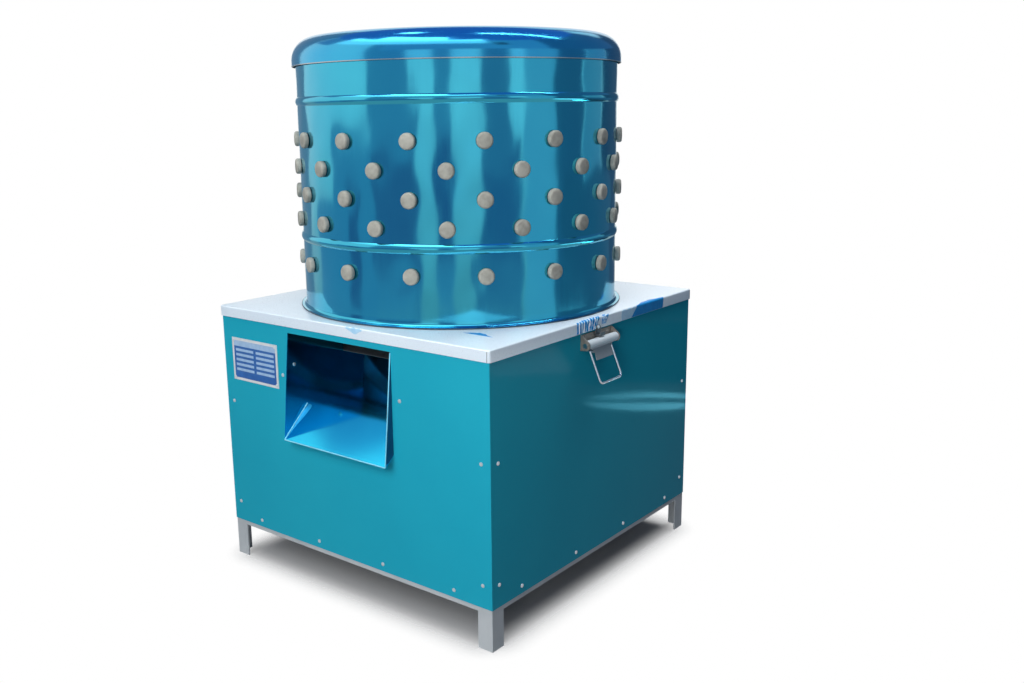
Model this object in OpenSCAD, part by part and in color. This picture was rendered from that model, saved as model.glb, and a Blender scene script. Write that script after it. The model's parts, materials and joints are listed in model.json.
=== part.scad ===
// Drum poultry plucker: a drum lined with rubber fingers on a square base that holds the drive.
// Millimetres. The origin is on the floor under the drum's axis, +Z is up,
// the feather chute faces -Y and the latch is on the +X side.

/* [Base] */
// Height of the top plate above the floor
base_h = 510; // [500:1:530]
// Width of the square top plate
plate_w = 660; // [656:1:680]
// Sheet thickness of the top plate
plate_t = 1.5; // [1.2:0.1:2]
// Depth of the plate's turned-down skirt
skirt_h = 20; // [18:1:21]
// Corner radius of the top plate
plate_corner_r = 5; // [4:0.5:7]
// Gap between the skirt and the panels
skirt_gap = 1.5; // [1:0.1:2]
// Sheet thickness of the panels
panel_t = 1; // [0.8:0.1:1.2]
// Height of the panels' lower edge above the floor
panel_bottom_z = 74.5; // [70:0.5:80]
// Gap between the panels' upper edge and the plate
panel_top_gap = 3.5; // [3:0.5:6]
// Leg width of the angle iron
angle_w = 30; // [28:1:34]
// Thickness of the angle iron
angle_t = 3; // [2.5:0.5:4]
// Leg width of the top rails
top_rail_w = 25; // [22:1:25]
// Height of the bottom rails above the floor
bottom_rail_z = 66; // [60:1:70]
// Height of the mid rails' top, which carries the cross beams
mid_rail_h = 180; // [176:1:186]

/* [Cross beams] */
// Width of the square-cut cross beams
beam_w = 40; // [36:1:44]
// Height of the cross beams
beam_h = 30; // [26:1:34]
// Wall of the cross beams
beam_t = 2; // [1.5:0.5:3]
// Distance of each bearing beam from the shaft
bearing_beam_y = 62; // [61:1:66]

/* [Drum] */
// Outside diameter of the drum wall
drum_d = 600; // [590:2:606]
// Sheet thickness of the drum wall
drum_wall = 1; // [0.8:0.1:1.5]
// Height of the rim's top above the top plate
drum_h = 493; // [480:1:540]
// Reach of the foot flange beyond the wall
foot_reach = 10; // [8:0.5:12]
// Thickness of the foot flange
foot_t = 2.4; // [1.6:0.1:3]
// Fillet between the wall and the foot flange
foot_fillet = 7; // [4:0.5:7]
// Length of the drum below the plate
spigot_drop = 1.5; // [1:0.1:2]
// Height of the lower swaged bead above the plate
bead_low = 134; // [130:1:138]
// Height of the upper swaged bead above the plate
bead_high = 379; // [368:1:390]
// Height by which a bead stands proud
bead_h = 3.5; // [2:0.5:5]
// Width of a bead
bead_w = 16; // [12:1:20]

/* [Rim] */
// Overhang of the rim beyond the drum wall
rim_overhang = 6.5; // [5:0.5:9]
// Sheet thickness of the rim
rim_t = 1.2; // [1:0.1:1.6]
// Height of the rim's straight skirt
rim_skirt = 10; // [10:1:14]
// Radius of the rim's rounded shoulder
rim_round = 42; // [36:1:46]
// Radius of the rim's inner roll
rim_roll = 9.5; // [6:0.5:14]
// Height of the drum's seat flange above the rim's raw edge
rim_seat_lift = 7; // [5:0.5:7]
// Thickness of the seat flange
rim_seat_t = 2; // [1.5:0.5:3]

/* [Fingers] */
// Diameter of a finger's head
head_d = 28; // [24:1:32]
// Thickness of a finger's head
head_t = 9.5; // [8:0.5:12]
// Rounding of a head's outer edge
head_round = 3.5; // [2:0.5:4]
// Diameter of a finger's neck, which sits in its hole
neck_d = 20; // [18:0.5:21]
// Diameter of the shoulder behind the neck
shoulder_d = 24.6; // [24:0.1:26]
// Length of a finger's body inside the wall
finger_l = 82; // [74:1:83]
// Diameter of a finger's tip
tip_d = 13; // [10:0.5:15]
// Height of a finger's ribs
rib_h = 1.3; // [0.6:0.1:1.8]
// Number of ribs on a finger
rib_count = 7; // [5:1:9]
// Number of fingers in a row around the drum
row_count = 15; // [12:1:16]
// Height of the lowest row above the plate
row_low = 88; // [86:1:96]
// Step from the lowest row to the next
row_first_step = 79; // [72:1:86]
// Step between the other rows
row_step = 48.1; // [44:0.1:50]
// Angle of the first finger in the lowest row
row_angle = -42; // [-54:1:-30]

/* [Rotor] */
// Gap between the rotor disc and the drum wall
disc_gap = 17; // [16:1:24]
// Thickness of the rotor disc
disc_t = 4; // [3:0.5:5]
// Height of the disc's underside above the plate
disc_lift = 17; // [16:1:22]
// Radius of the inner ring of rotor fingers
ring_low_r = 85; // [82:1:88]
// Step between the rings of rotor fingers
ring_step = 49; // [46:1:50]
// Spacing of the fingers along a ring
ring_pitch = 58; // [54:1:70]
// Diameter of the main shaft
shaft_d = 30; // [26:1:32]
// Diameter of the hub's flange
hub_flange_d = 120; // [110:1:124]
// Thickness of the hub's flange
hub_flange_t = 12; // [10:1:14]
// Diameter of the hub's boss
hub_boss_d = 60; // [54:1:62]
// Length of the hub's boss below its flange
hub_boss_l = 30; // [26:1:34]
// Length of a sweeper blade
sweeper_l = 72; // [60:1:74]
// Depth of a sweeper blade below its bracket
sweeper_depth = 16; // [12:1:17]

/* [Bearings] */
// Outside diameter of a ball bearing
bearing_d = 62; // [60:1:64]
// Width of a ball bearing
bearing_w = 16; // [14:1:17]
// Number of balls in a bearing
ball_count = 9; // [7:1:10]
// Length of the bearing housing
housing_l = 152; // [140:1:170]
// Wall of the bearing housing outside the bearings
housing_wall = 7; // [6:0.5:8]
// Width of the housing's square flange
housing_flange_w = 170; // [166:1:176]
// Thickness of the housing's flange
housing_flange_t = 10; // [8:1:12]
// Thickness of the upper shaft seal
seal_t = 6; // [5:0.5:7]

/* [Belt drive] */
// Pitch diameter of the driven pulley
driven_d = 252; // [240:2:256]
// Pitch diameter of the motor pulley
driver_d = 63; // [60:1:70]
// Distance between the shaft and the motor axis
drive_centres = 215; // [212:1:218]
// Top width of the belt
belt_w = 13; // [11:0.5:14]
// Height of the belt
belt_h = 8; // [7:0.5:9]
// Width of the pulleys
pulley_w = 22; // [20:1:24]
// Height of the belt's middle above the floor
belt_z = 154; // [152:1:156]

/* [Motor] */
// Diameter of the motor housing
motor_d = 150; // [144:1:154]
// Wall of the motor housing
motor_wall = 8; // [7:0.5:10]
// Length of the motor housing
motor_l = 156; // [140:1:160]
// Height of the housing's fins
fin_h = 8; // [6:0.5:9]
// Diameter of the motor shaft
motor_shaft_d = 25; // [22:1:26]
// Diameter of the flange of the lower end bell
bell_flange_d = 180; // [176:1:184]
// Width of the square motor plate
motor_plate_w = 200; // [196:1:210]
// Thickness of the motor plate
motor_plate_t = 8; // [6:1:10]

/* [Chute and tray] */
// Inside width of the chute
chute_w = 256; // [240:1:262]
// Sideways offset of the chute
chute_x = -12; // [-16:1:4]
// Depth of the chute's lip below the top plate
chute_lip_drop = 230; // [224:1:234]
// Depth of the chute opening's upper edge below the top plate
chute_top_drop = 32; // [28:1:40]
// Reach of the chute's lip beyond the panel
chute_reach = 20.5; // [15:0.5:30]
// Slope of the chute floor in degrees
chute_slope = 41.5; // [40.5:0.1:42]
// Sheet thickness of the chute
chute_t = 1; // [0.8:0.1:1.5]
// Depth of the chute behind the panel's face
chute_depth = 136; // [132:1:140]
// Width of the flanges that fasten the chute
chute_flange = 30; // [26:1:36]
// Slope of the feather tray in degrees
tray_slope = 7.5; // [6:0.5:8]
// Sheet thickness of the feather tray
tray_t = 1.2; // [1:0.1:1.5]
// Width of the tray's hanging lip
tray_lip = 14; // [10:1:18]
// Height of the collar around the hub, measured from the plate downwards
collar_drop = 10; // [8:1:14]

/* [Latch] */
// Position of the latch along the right side
latch_y = -22; // [-40:1:40]
// Length of the latch across its two ears
latch_w = 100; // [94:1:104]
// Diameter of the lever's knuckle
knuckle_d = 16; // [14:0.5:16]
// Distance of the knuckle's axis from the panel
knuckle_out = 10.5; // [10.5:0.5:12]
// Depth of the knuckle's axis below the top plate
knuckle_drop = 41; // [41:0.5:44]
// Diameter of the lever's pin
latch_pin_d = 5; // [4:0.5:6]
// Length of the lever from its axis
lever_l = 30; // [28:0.2:34]
// Width of the lever's free end
lever_w = 52; // [48:1:54]
// Width of the lever beside its knuckle
lever_root_w = 66; // [60:1:68]
// Lean of the lever from the vertical, in degrees
lever_lean = 16; // [12:1:24]
// Distance of the bail's pivot below the lever's axis, along the lever
bail_drop = 12.2; // [12:0.1:14]
// Distance of the bail's pivot behind the lever
bail_back = 4.5; // [4:0.1:5]
// Diameter of the bail's wire
wire_d = 4.5; // [3:0.5:5]
// Width of the bail between its wire's middles
bail_w = 69.5; // [66:0.5:70]
// Length of the bail from its pivot to the lower wire
bail_l = 59; // [52:1:62]
// Bend radius of the bail's corners
bail_bend = 8; // [6:0.5:12]
// Lean of the bail from the vertical, in degrees
bail_lean = 23; // [16:1:28]
// Width of the keeper strap
keeper_w = 15; // [12:1:17]
// Thickness of the latch's sheet
latch_t = 2; // [1.5:0.1:2.2]
// Reach of the keeper's hook beyond the strap
hook_reach = 9; // [4:0.5:10]
// Height of the keeper that lies on the skirt
keeper_lap = 8; // [8:0.5:14]

/* [Hinges] */
// Distance of each hinge from the middle of the left side
hinge_y = 200; // [150:1:230]
// Length of a hinge
hinge_l = 75; // [60:1:90]
// Diameter of a hinge's knuckle
hinge_knuckle_d = 8; // [7:0.5:8]
// Diameter of a hinge's pin
hinge_pin_d = 4; // [3:0.5:4.5]
// Thickness of a hinge's leaves
leaf_t = 2; // [1.5:0.1:2.2]
// Height of the lower leaf
lower_leaf_h = 30; // [26:1:40]

/* [Data plate and switch box] */
// Width of the data plate
nameplate_w = 130; // [100:1:132]
// Height of the data plate
nameplate_h = 83; // [70:1:90]
// Middle of the data plate, sideways
nameplate_x = -237; // [-242:1:-235]
// Depth of the data plate's middle below the top plate
nameplate_drop = 101; // [85:0.5:110]
// Width of the switch box
switch_w = 90; // [84:1:100]
// Height of the switch box
switch_h = 120; // [110:1:140]
// Depth of the switch box
switch_d = 53; // [52:1:60]
// Wall of the switch box
switch_wall = 2.5; // [2:0.5:3]
// Middle of the switch box, sideways
switch_x = 165; // [120:1:200]
// Middle of the switch box above the floor
switch_z = 390; // [360:1:400]
// Diameter of a push button
button_d = 22; // [18:1:24]
// Travel of a push button
button_travel = 4; // [3:0.5:5]
// Distance between the two buttons
button_step = 48; // [44:1:54]
// Bore of the cable gland
gland_bore_d = 10; // [8:0.5:11]

/* [Fasteners] */
// Shank diameter of the panel rivets
rivet_d = 4; // [3:0.5:4.5]
// Head diameter of the panel rivets
rivet_head_d = 7; // [6:0.5:8]
// Distance of the edge rivets from the panel's edge
rivet_inset = 19; // [16:1:22]
// Height of the lower edge rivets above the floor
rivet_low_z = 114; // [106:1:130]
// Height of the upper edge rivets above the floor
rivet_high_z = 322; // [300:1:350]
// Height of the bottom row of rivets above the panel's lower edge
rivet_row_z = 13.5; // [10:0.5:16]
// Spacing of the bottom row of rivets
rivet_pitch = 164; // [150:1:176]
// Diameter of the mounting bolts
bolt_d = 10; // [8:1:10]
// Height of a mounting bolt's head
bolt_head_h = 6.5; // [5:0.5:7]

/* [Hidden] */
$fn = 64;
// Running clearance of a shaft or pin in its hole
run = 0.05;
// Clearance between parts that only have to pass each other
clear = 0.3;
// Cutters reach this far past the face that they open
past = 2;

plate_half = plate_w / 2;
panel_half = plate_half - plate_t - skirt_gap;
frame_half = panel_half - panel_t;
frame_top = base_h - plate_t - clear;
panel_top_z = base_h - plate_t - panel_top_gap;
panel_h = panel_top_z - panel_bottom_z;
skirt_bottom_z = base_h - skirt_h;
rail_l = 2 * (frame_half - angle_w);
beam_top = mid_rail_h + beam_h;
beam_half = frame_half - 2 * angle_t;
motor_beam_step = motor_plate_w * 3 / 4;
beam_ys = [-bearing_beam_y, bearing_beam_y,
           drive_centres - motor_beam_step / 2, drive_centres + motor_beam_step / 2];

drum_r = drum_d / 2;
drum_inner_r = drum_r - drum_wall;
spigot_z = base_h - plate_t - spigot_drop;
bead_arc_r = (pow(bead_w / 2, 2) + pow(bead_h, 2)) / (2 * bead_h);
bead_half_angle = asin(bead_w / 2 / bead_arc_r);
rim_top = base_h + drum_h;
rim_r = drum_r + rim_overhang;
rim_crown_r = rim_r - rim_round;
rim_crown_z = rim_top - rim_round;
rim_edge_z = rim_crown_z - rim_skirt;
mouth_r = rim_crown_r - rim_roll;
rim_seat_z = rim_edge_z + rim_seat_lift;

head_r = head_d / 2;
neck_r = neck_d / 2;
finger_hole_r = neck_r + 0.2;
finger_seat_r = drum_r + run;
drum_grip = drum_wall + 0.35;
disc_grip = disc_t + 2 * run;
row_zs = [for (i = [0:4]) base_h + row_low + (i == 0 ? 0 : row_first_step + (i - 1) * row_step)];

disc_r = drum_inner_r - disc_gap;
disc_z = base_h + disc_lift;
disc_top = disc_z + disc_t;
ring_rs = [for (i = [0:2]) ring_low_r + i * ring_step];
shaft_r = shaft_d / 2;
hub_z = disc_z - hub_flange_t;
hub_bolt_r = (hub_flange_d + hub_boss_d) / 4;
hub_bolt_d = 8;
hub_bolt_head = 5.3;
hub_bolt_count = 6;
centre_bolt_d = 12;
centre_bolt_l = 30;
centre_bolt_head = 7.5;
tap_past = 2;
washer_d = 50;
washer_t = 3;
sweeper_gap = 3;
sweeper_r = disc_r - sweeper_l - sweeper_gap;
sweeper_w = 25;
sweeper_t = 3;
sweeper_bolt_d = 6;
sweeper_bolt_head = 4;

bearing_r = bearing_d / 2;
housing_r = bearing_r + housing_wall;
housing_lift = 2;
housing_z = mid_rail_h + housing_lift;
housing_top = housing_z + housing_l;
low_seal_t = 4;
bearing_lip = 4;
bearing_zs = [housing_z + low_seal_t, housing_top - seal_t - bearing_w];
ball_ring_r = (bearing_r + shaft_r) / 2;
ball_r = (bearing_r - shaft_r) * 0.3;
ring_wall = (bearing_r - shaft_r) * 0.28;
housing_bolt_inset = 22;
housing_bolt_x = housing_flange_w / 2 - housing_bolt_inset;
shaft_proud = 5;
shaft_bottom = belt_z - pulley_w / 2 - shaft_proud;
shaft_top = disc_top - 1;

groove_angle = 18;
belt_half_top = belt_w / 2;
belt_half_low = belt_half_top - belt_h * tan(groove_angle);
belt_out = belt_h * 3 / 8;
belt_in = belt_h - belt_out;
driven_r = driven_d / 2;
driver_r = driver_d / 2;
belt_angle = asin((driven_r - driver_r) / drive_centres);
pulley_wall = 7;
pulley_hub_proud = 3;
driven_hub_wall = 17;
driver_hub_wall = 7;
// The belt's straights are slimmer than its bends and end this far inside them
belt_lap = 2;
belt_slim = 0.2;

motor_z = beam_top + motor_plate_t;
motor_r = motor_d / 2;
bell_flange_t = 12;
bell_l = 26;
motor_body_z = motor_z + bell_l;
motor_body_top = motor_body_z + motor_l;
rear_bell_t = 16;
motor_shaft_r = motor_shaft_d / 2;
motor_bearing_wall = 13.5;
motor_bearing_r = motor_shaft_r + motor_bearing_wall;
motor_bearing_w = 15;
stator_t = 24;
air_gap = 0.5;
winding_l = 23;
core_l = motor_l - 2 * winding_l;
core_gap = 2;
shaft_room = 1;
bell_step = 4;
fin_t = 2.5;
fin_inset = 6;
fan_lift = 4;
fan_z = motor_body_top + rear_bell_t + fan_lift;
fan_t = 14;
fan_disc_t = 2;
cover_t = 1.2;
cover_l = 48;
cover_gap = 4;
cover_lift = 2;
cover_r = motor_r + cover_gap;
spacer_w = 8;
slot_in = 18;
slot_l = 40;
slot_w = 6;
fan_gap = 14;
fan_r = cover_r - fan_gap;
fan_hub_wall = 6;
blade_t = 2;
terminal_box = [44, 56, 60];
terminal_lift = 40;
terminal_seat = 8;
plate_bolt_inset = 15;
plate_bolt_x = motor_plate_w / 2 - plate_bolt_inset;
plate_bolt_y = motor_beam_step / 2;
bell_bolt_inset = 7.5;
bell_bolt_r = bell_flange_d / 2 - bell_bolt_inset;
bell_bolt_angles = [30, 150, 210, 330];
motor_bolt_d = 8;

chute_half = chute_w / 2;
chute_lip_z = base_h - chute_lip_drop;
chute_top_z = base_h - chute_top_drop;
chute_lip_y = -panel_half - chute_reach;
chute_end_y = -panel_half + chute_depth;
function chute_z(y) = chute_lip_z + (y - chute_lip_y) * tan(chute_slope);
chute_drop = chute_t / cos(chute_slope);
chute_end_z = chute_z(chute_end_y);
chute_cheek_top = chute_top_z - clear;
chute_rivet_drop = 82;
chute_rivet_z = chute_top_z - chute_rivet_drop;
chute_rivet_out = 18;
cheek_rivet_in = 12;
cheek_rivet_drop = 61;
cheek_rivet_y = -panel_half + cheek_rivet_in;
cheek_rivet_z = chute_top_z - cheek_rivet_drop;
chute_flange_lift = 46;
tray_half = frame_half - top_rail_w - clear;
tray_drop = tray_t / cos(tray_slope);
tray_gap = 0.5;
function tray_z(y) = chute_end_z + tray_gap + tray_drop + (y - chute_end_y) * tan(tray_slope);
tray_top = frame_top - angle_t;
collar_gap = 3;
collar_r = hub_boss_d / 2 + collar_gap;
collar_t = 1.5;
collar_top = base_h - collar_drop;

knuckle_r = knuckle_d / 2;
knuckle_x = panel_half + knuckle_out;
knuckle_z = base_h - knuckle_drop;
ear_t = latch_t;
knuckle_l = latch_w - 2 * ear_t - 2 * clear;
latch_pin_r = latch_pin_d / 2;
ear_r = knuckle_r + 1;
latch_gap = 3;
latch_base_top = skirt_bottom_z - latch_gap;
latch_base_low = knuckle_z - ear_r - 1;
pin_head_t = 1.5;
pin_head_rim = 1.8;
lug_t = 2.5;
lug_r = 4;
wire_r = wire_d / 2;
bail_pivot_x = knuckle_x - bail_back * cos(lever_lean) + bail_drop * sin(lever_lean);
bail_pivot_z = knuckle_z - bail_back * sin(lever_lean) - bail_drop * cos(lever_lean);
hook_gap = 2;
keeper_low = knuckle_z + knuckle_r + hook_gap;
keeper_top = skirt_bottom_z + keeper_lap;
latch_rivet_pitch = 24;
latch_rivet_z = frame_top - top_rail_w - rivet_d / 2 - 2 * clear;
keeper_rivet_z = skirt_bottom_z + rivet_head_d / 2 + 0.5;
lid_rivet_z = base_h - skirt_h / 2 + 1;

hinge_knuckle_r = hinge_knuckle_d / 2;
hinge_pin_r = hinge_pin_d / 2;
hinge_gap = 1;
hinge_x = -plate_half - hinge_knuckle_r - hinge_gap;
hinge_z = skirt_bottom_z - hinge_gap;
leaf_gap = clear;
knuckle_count = 5;
knuckle_step = hinge_l / knuckle_count;
lower_leaf_top = hinge_z - hinge_gap;
upper_leaf_low = hinge_z + hinge_knuckle_r + hinge_gap;
leaf_rivet_inset = 12;
leaf_rivet_y = hinge_l / 2 - leaf_rivet_inset;
hinge_head_t = 1.5;
hinge_head_rim = 1.2;
lower_leaf_rivet_z = lower_leaf_top - lower_leaf_h / 2 - 2;

nameplate_t = 1;
nameplate_z = base_h - nameplate_drop;
pin_r = 1.5;
pin_inset = 5;
switch_front = panel_half + switch_d;
cover_plate_t = 2.5;
switch_screw_inset = 7;
switch_screw_r = 2;
switch_screw_l = 12;
switch_screw_head = 1.8;
switch_tap_l = 14;
button_r = button_d / 2;
button_proud = 6;
button_lip = 3;
button_lip_t = 4;
stem_r = 5;
block_t = 22;
block_w = 40;
block_past = 18;
block_y = panel_half + switch_wall + clear;
gland_r = 8;
gland_y = panel_half + switch_d / 2;
gland_hex_r = 12;
gland_l = 12;
gland_nut_l = 10;
gland_thread_l = 8;
gland_nut_step = 2.5;

rivet_r = rivet_d / 2;
rivet_head_r = rivet_head_d / 2;
rivet_head_h = 1.6;
rivet_tail = 1.5;
rivet_hole_r = rivet_r + 0.1;
rivet_hole_l = 10;
bolt_r = bolt_d / 2;
bolt_hole_r = bolt_r + clear;
nut_h = 8;
// Corner radius of a hexagon over the radius of its bolt
hex_ratio = 1.9;

// Points of an arc about c, from angle a to angle b
function arc(c, r, a, b, n = 12) = [for (i = [0:n]) let (t = a + (b - a) * i / n) c + r * [cos(t), sin(t)]];

// A ring between two radii
module ring(outer_r, inner_r, h) {
    difference() {
        cylinder(r = outer_r, h = h);
        translate([0, 0, -past]) cylinder(r = inner_r, h = h + 2 * past);
    }
}

// A square box with rounded upright corners, centred on the axis
module rounded_box(half, r, h) {
    translate([-half + r, -half, 0]) cube([2 * (half - r), 2 * half, h]);
    translate([-half, -half + r, 0]) cube([2 * half, 2 * (half - r), h]);
    for (x = [-1, 1], y = [-1, 1])
        translate([x * (half - r), y * (half - r), 0]) cylinder(r = r, h = h);
}

// An outline in Y and Z drawn out along X, centred
module along_x(l) {
    translate([-l / 2, 0, 0]) rotate([90, 0, 90]) linear_extrude(l) children();
}

// A blind rivet with its head on the plane z = 0 and its shank below
module rivet(grip, r = rivet_r, head_r = rivet_head_r) {
    rotate_extrude() polygon(concat(
        [[0, -grip], [r, -grip], [r, 0], [head_r, 0]],
        [[head_r * 0.92, rivet_head_h * 0.55], [head_r * 0.6, rivet_head_h * 0.9], [0, rivet_head_h]]));
}

// The hole that such a rivet passes
module rivet_hole(r = rivet_hole_r, depth = rivet_hole_l) {
    translate([0, 0, -depth]) cylinder(r = r, h = depth + past);
}

// A hexagon bolt with its head standing on the plane z = 0
module bolt(r, l, head_h) {
    cylinder(r = hex_ratio * r, h = head_h, $fn = 6);
    translate([0, 0, -l]) cylinder(r = r, h = l);
}

// A hexagon nut hanging below the plane z = 0
module nut(r, h) {
    difference() {
        translate([0, 0, -h]) cylinder(r = hex_ratio * r, h = h, $fn = 6);
        translate([0, 0, -h - past]) cylinder(r = r + run, h = h + 2 * past);
    }
}

// An angle-iron bar standing on its end, corner at the origin
module angle_bar(l) {
    linear_extrude(l) polygon([[0, 0], [angle_w, 0], [angle_w, angle_t],
                               [angle_t, angle_t], [angle_t, angle_w], [0, angle_w]]);
}

// A rail along the front of the frame, its flat leg at the bottom or at the top
module front_rail(w, z, flat_on_top) {
    flat_z = flat_on_top ? w - angle_t : 0;
    translate([0, -frame_half, z]) along_x(rail_l) union() {
        square([angle_t, w]);
        translate([0, flat_z]) square([w, angle_t]);
    }
}

// Places on the four panels where the frame's rivets go, pointing outwards
module at_panel_rivets() {
    edge_x = panel_half - rivet_inset;
    row_z = panel_bottom_z + rivet_row_z;
    spots = concat(
        [for (x = [-edge_x, edge_x], z = [rivet_low_z, rivet_high_z]) [x, z]],
        [for (i = [-1.5:1:1.5]) [i * rivet_pitch, row_z]]);
    for (k = [0:3], p = spots)
        rotate([0, 0, 90 * k]) translate([p[0], -panel_half, p[1]]) rotate([90, 0, 0]) children();
}

// Places of the chute's rivets on the front panel
module at_chute_rivets() {
    for (side = [-1, 1])
        translate([chute_x + side * (chute_half + chute_t + chute_rivet_out), -panel_half, chute_rivet_z])
            rotate([90, 0, 0]) children();
}

// Places of the rivets inside the chute's cheeks, pointing into the chute
module at_cheek_rivets() {
    for (side = [-1, 1])
        translate([chute_x + side * chute_half, cheek_rivet_y, cheek_rivet_z])
            rotate([0, -90 * side, 0]) children();
}

// Places of the data plate's pins
module at_nameplate_pins() {
    for (x = [-1, 1], z = [-1, 1])
        translate([nameplate_x + x * (nameplate_w / 2 - pin_inset), -panel_half - nameplate_t,
                   nameplate_z + z * (nameplate_h / 2 - pin_inset)])
            rotate([90, 0, 0]) children();
}

// Places of the latch's rivets on the right panel
module at_latch_rivets() {
    for (i = [-1.5:1:1.5])
        translate([panel_half + latch_t, latch_y + i * latch_rivet_pitch, latch_rivet_z])
            rotate([0, 90, 0]) children();
}

// Place of the keeper's rivet on the skirt
module at_keeper_rivet() {
    translate([plate_half + latch_t, latch_y, keeper_rivet_z]) rotate([0, 90, 0]) children();
}

// Places of the rivets of the lower hinge leaves
module at_lower_leaf_rivets() {
    for (h = [-1, 1], y = [-1, 1])
        translate([-panel_half - leaf_t, h * hinge_y + y * leaf_rivet_y, lower_leaf_rivet_z])
            rotate([0, -90, 0]) children();
}

// Places of the rivets of the upper hinge leaves
module at_upper_leaf_rivets() {
    for (h = [-1, 1], y = [-1, 1])
        translate([-plate_half - leaf_t, h * hinge_y + y * leaf_rivet_y, lid_rivet_z + 1])
            rotate([0, -90, 0]) children();
}

// Places of the bolts that hold the bearing housing on its beams
module at_housing_bolts() {
    for (x = [-1, 1], y = [-1, 1])
        translate([x * housing_bolt_x, y * bearing_beam_y, beam_top]) children();
}

// Places of the bolts that hold the motor plate on its beams
module at_plate_bolts() {
    for (x = [-1, 1], y = [-1, 1])
        translate([x * plate_bolt_x, drive_centres + y * plate_bolt_y, beam_top]) children();
}

// Places of the bolts that hold the motor on its plate
module at_bell_bolts() {
    for (a = bell_bolt_angles)
        translate([0, drive_centres, motor_z]) rotate([0, 0, a]) translate([bell_bolt_r, 0, 0]) children();
}

// Places of the switch cover's screws, pointing backwards
module at_switch_screws() {
    for (x = [-1, 1], z = [-1, 1])
        translate([switch_x + x * (switch_w / 2 - switch_screw_inset), switch_front + cover_plate_t,
                   switch_z + z * (switch_h / 2 - switch_screw_inset)])
            rotate([-90, 0, 0]) children();
}

module corner_posts() {
    color("#b8bdbf") difference() {
        for (k = [0:3])
            rotate([0, 0, 90 * k]) translate([-frame_half, -frame_half, 0]) angle_bar(frame_top);
        at_panel_rivets() rivet_hole();
    }
}

module bottom_rails() {
    color("#b8bdbf") difference() {
        for (k = [0:3])
            rotate([0, 0, 90 * k]) front_rail(angle_w, bottom_rail_z, false);
        at_panel_rivets() rivet_hole();
    }
}

module top_rails() {
    color("#b8bdbf") for (k = [0:3])
        rotate([0, 0, 90 * k]) front_rail(top_rail_w, frame_top - top_rail_w, true);
}

module mid_rails() {
    color("#b8bdbf") for (k = [1, 3])
        rotate([0, 0, 90 * k]) front_rail(angle_w, mid_rail_h - angle_w, true);
}

module cross_beams() {
    color("#9aa0a3") difference() {
        for (y = beam_ys)
            translate([-beam_half, y - beam_w / 2, mid_rail_h]) difference() {
                cube([2 * beam_half, beam_w, beam_h]);
                translate([-past, beam_t, beam_t])
                    cube([2 * (beam_half + past), beam_w - 2 * beam_t, beam_h - 2 * beam_t]);
            }
        at_housing_bolts() translate([0, 0, -beam_t - past]) cylinder(r = bolt_hole_r, h = beam_t + 2 * past);
        at_plate_bolts() translate([0, 0, -beam_t - past])
            cylinder(r = motor_bolt_d / 2 + clear, h = beam_t + 2 * past);
    }
}

// A panel across the front of the base, of the given half width
module plain_panel(half) {
    translate([-half, -panel_half, panel_bottom_z]) cube([2 * half, panel_t, panel_h]);
}

module front_panel() {
    cut_half = chute_half + chute_t + clear;
    cut_low = chute_z(-panel_half) - chute_drop - clear;
    color("#1f8fa6") difference() {
        plain_panel(panel_half);
        translate([chute_x - cut_half, -panel_half - past, cut_low])
            cube([2 * cut_half, panel_t + 2 * past, chute_top_z - cut_low]);
        at_panel_rivets() rivet_hole();
        at_chute_rivets() rivet_hole();
        at_nameplate_pins() rivet_hole(pin_r + 0.1);
    }
}

module back_panel() {
    color("#1f8fa6") difference() {
        rotate([0, 0, 180]) plain_panel(panel_half);
        at_panel_rivets() rivet_hole();
    }
}

module left_panel() {
    color("#1f8fa6") difference() {
        rotate([0, 0, -90]) plain_panel(frame_half);
        at_panel_rivets() rivet_hole();
        at_lower_leaf_rivets() rivet_hole();
    }
}

module right_panel() {
    color("#1f8fa6") difference() {
        rotate([0, 0, 90]) plain_panel(frame_half);
        at_panel_rivets() rivet_hole();
        at_latch_rivets() rivet_hole();
    }
}

module panel_rivets() {
    color("#e3e7e8") {
        at_panel_rivets() rivet(panel_t + angle_t + rivet_tail);
        at_chute_rivets() rivet(panel_t + chute_t + rivet_tail);
        at_cheek_rivets() rivet(chute_t + rivet_tail);
        at_nameplate_pins() rivet(nameplate_t + panel_t, pin_r, 2 * pin_r);
    }
}

// The chute's floor slopes out through the front panel between two cheeks
module feather_chute() {
    flange_z = chute_lip_z + chute_flange_lift;
    color("#1b93d0") difference() {
        translate([chute_x, 0, 0]) {
            along_x(chute_w + 2 * chute_t) polygon([
                [chute_lip_y, chute_lip_z], [chute_end_y, chute_end_z],
                [chute_end_y, chute_end_z - chute_drop], [chute_lip_y, chute_lip_z - chute_drop]]);
            for (side = [-1, 1]) {
                translate([side * (chute_half + chute_t / 2), 0, 0]) along_x(chute_t) polygon([
                    [chute_lip_y, chute_lip_z], [-panel_half, chute_cheek_top],
                    [chute_end_y, chute_cheek_top], [chute_end_y, chute_end_z]]);
                translate([side > 0 ? chute_half : -chute_half - chute_flange, -frame_half, flange_z])
                    cube([chute_flange, chute_t, chute_cheek_top - flange_z]);
            }
        }
        at_chute_rivets() rivet_hole();
        at_cheek_rivets() rivet_hole();
    }
}

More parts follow.
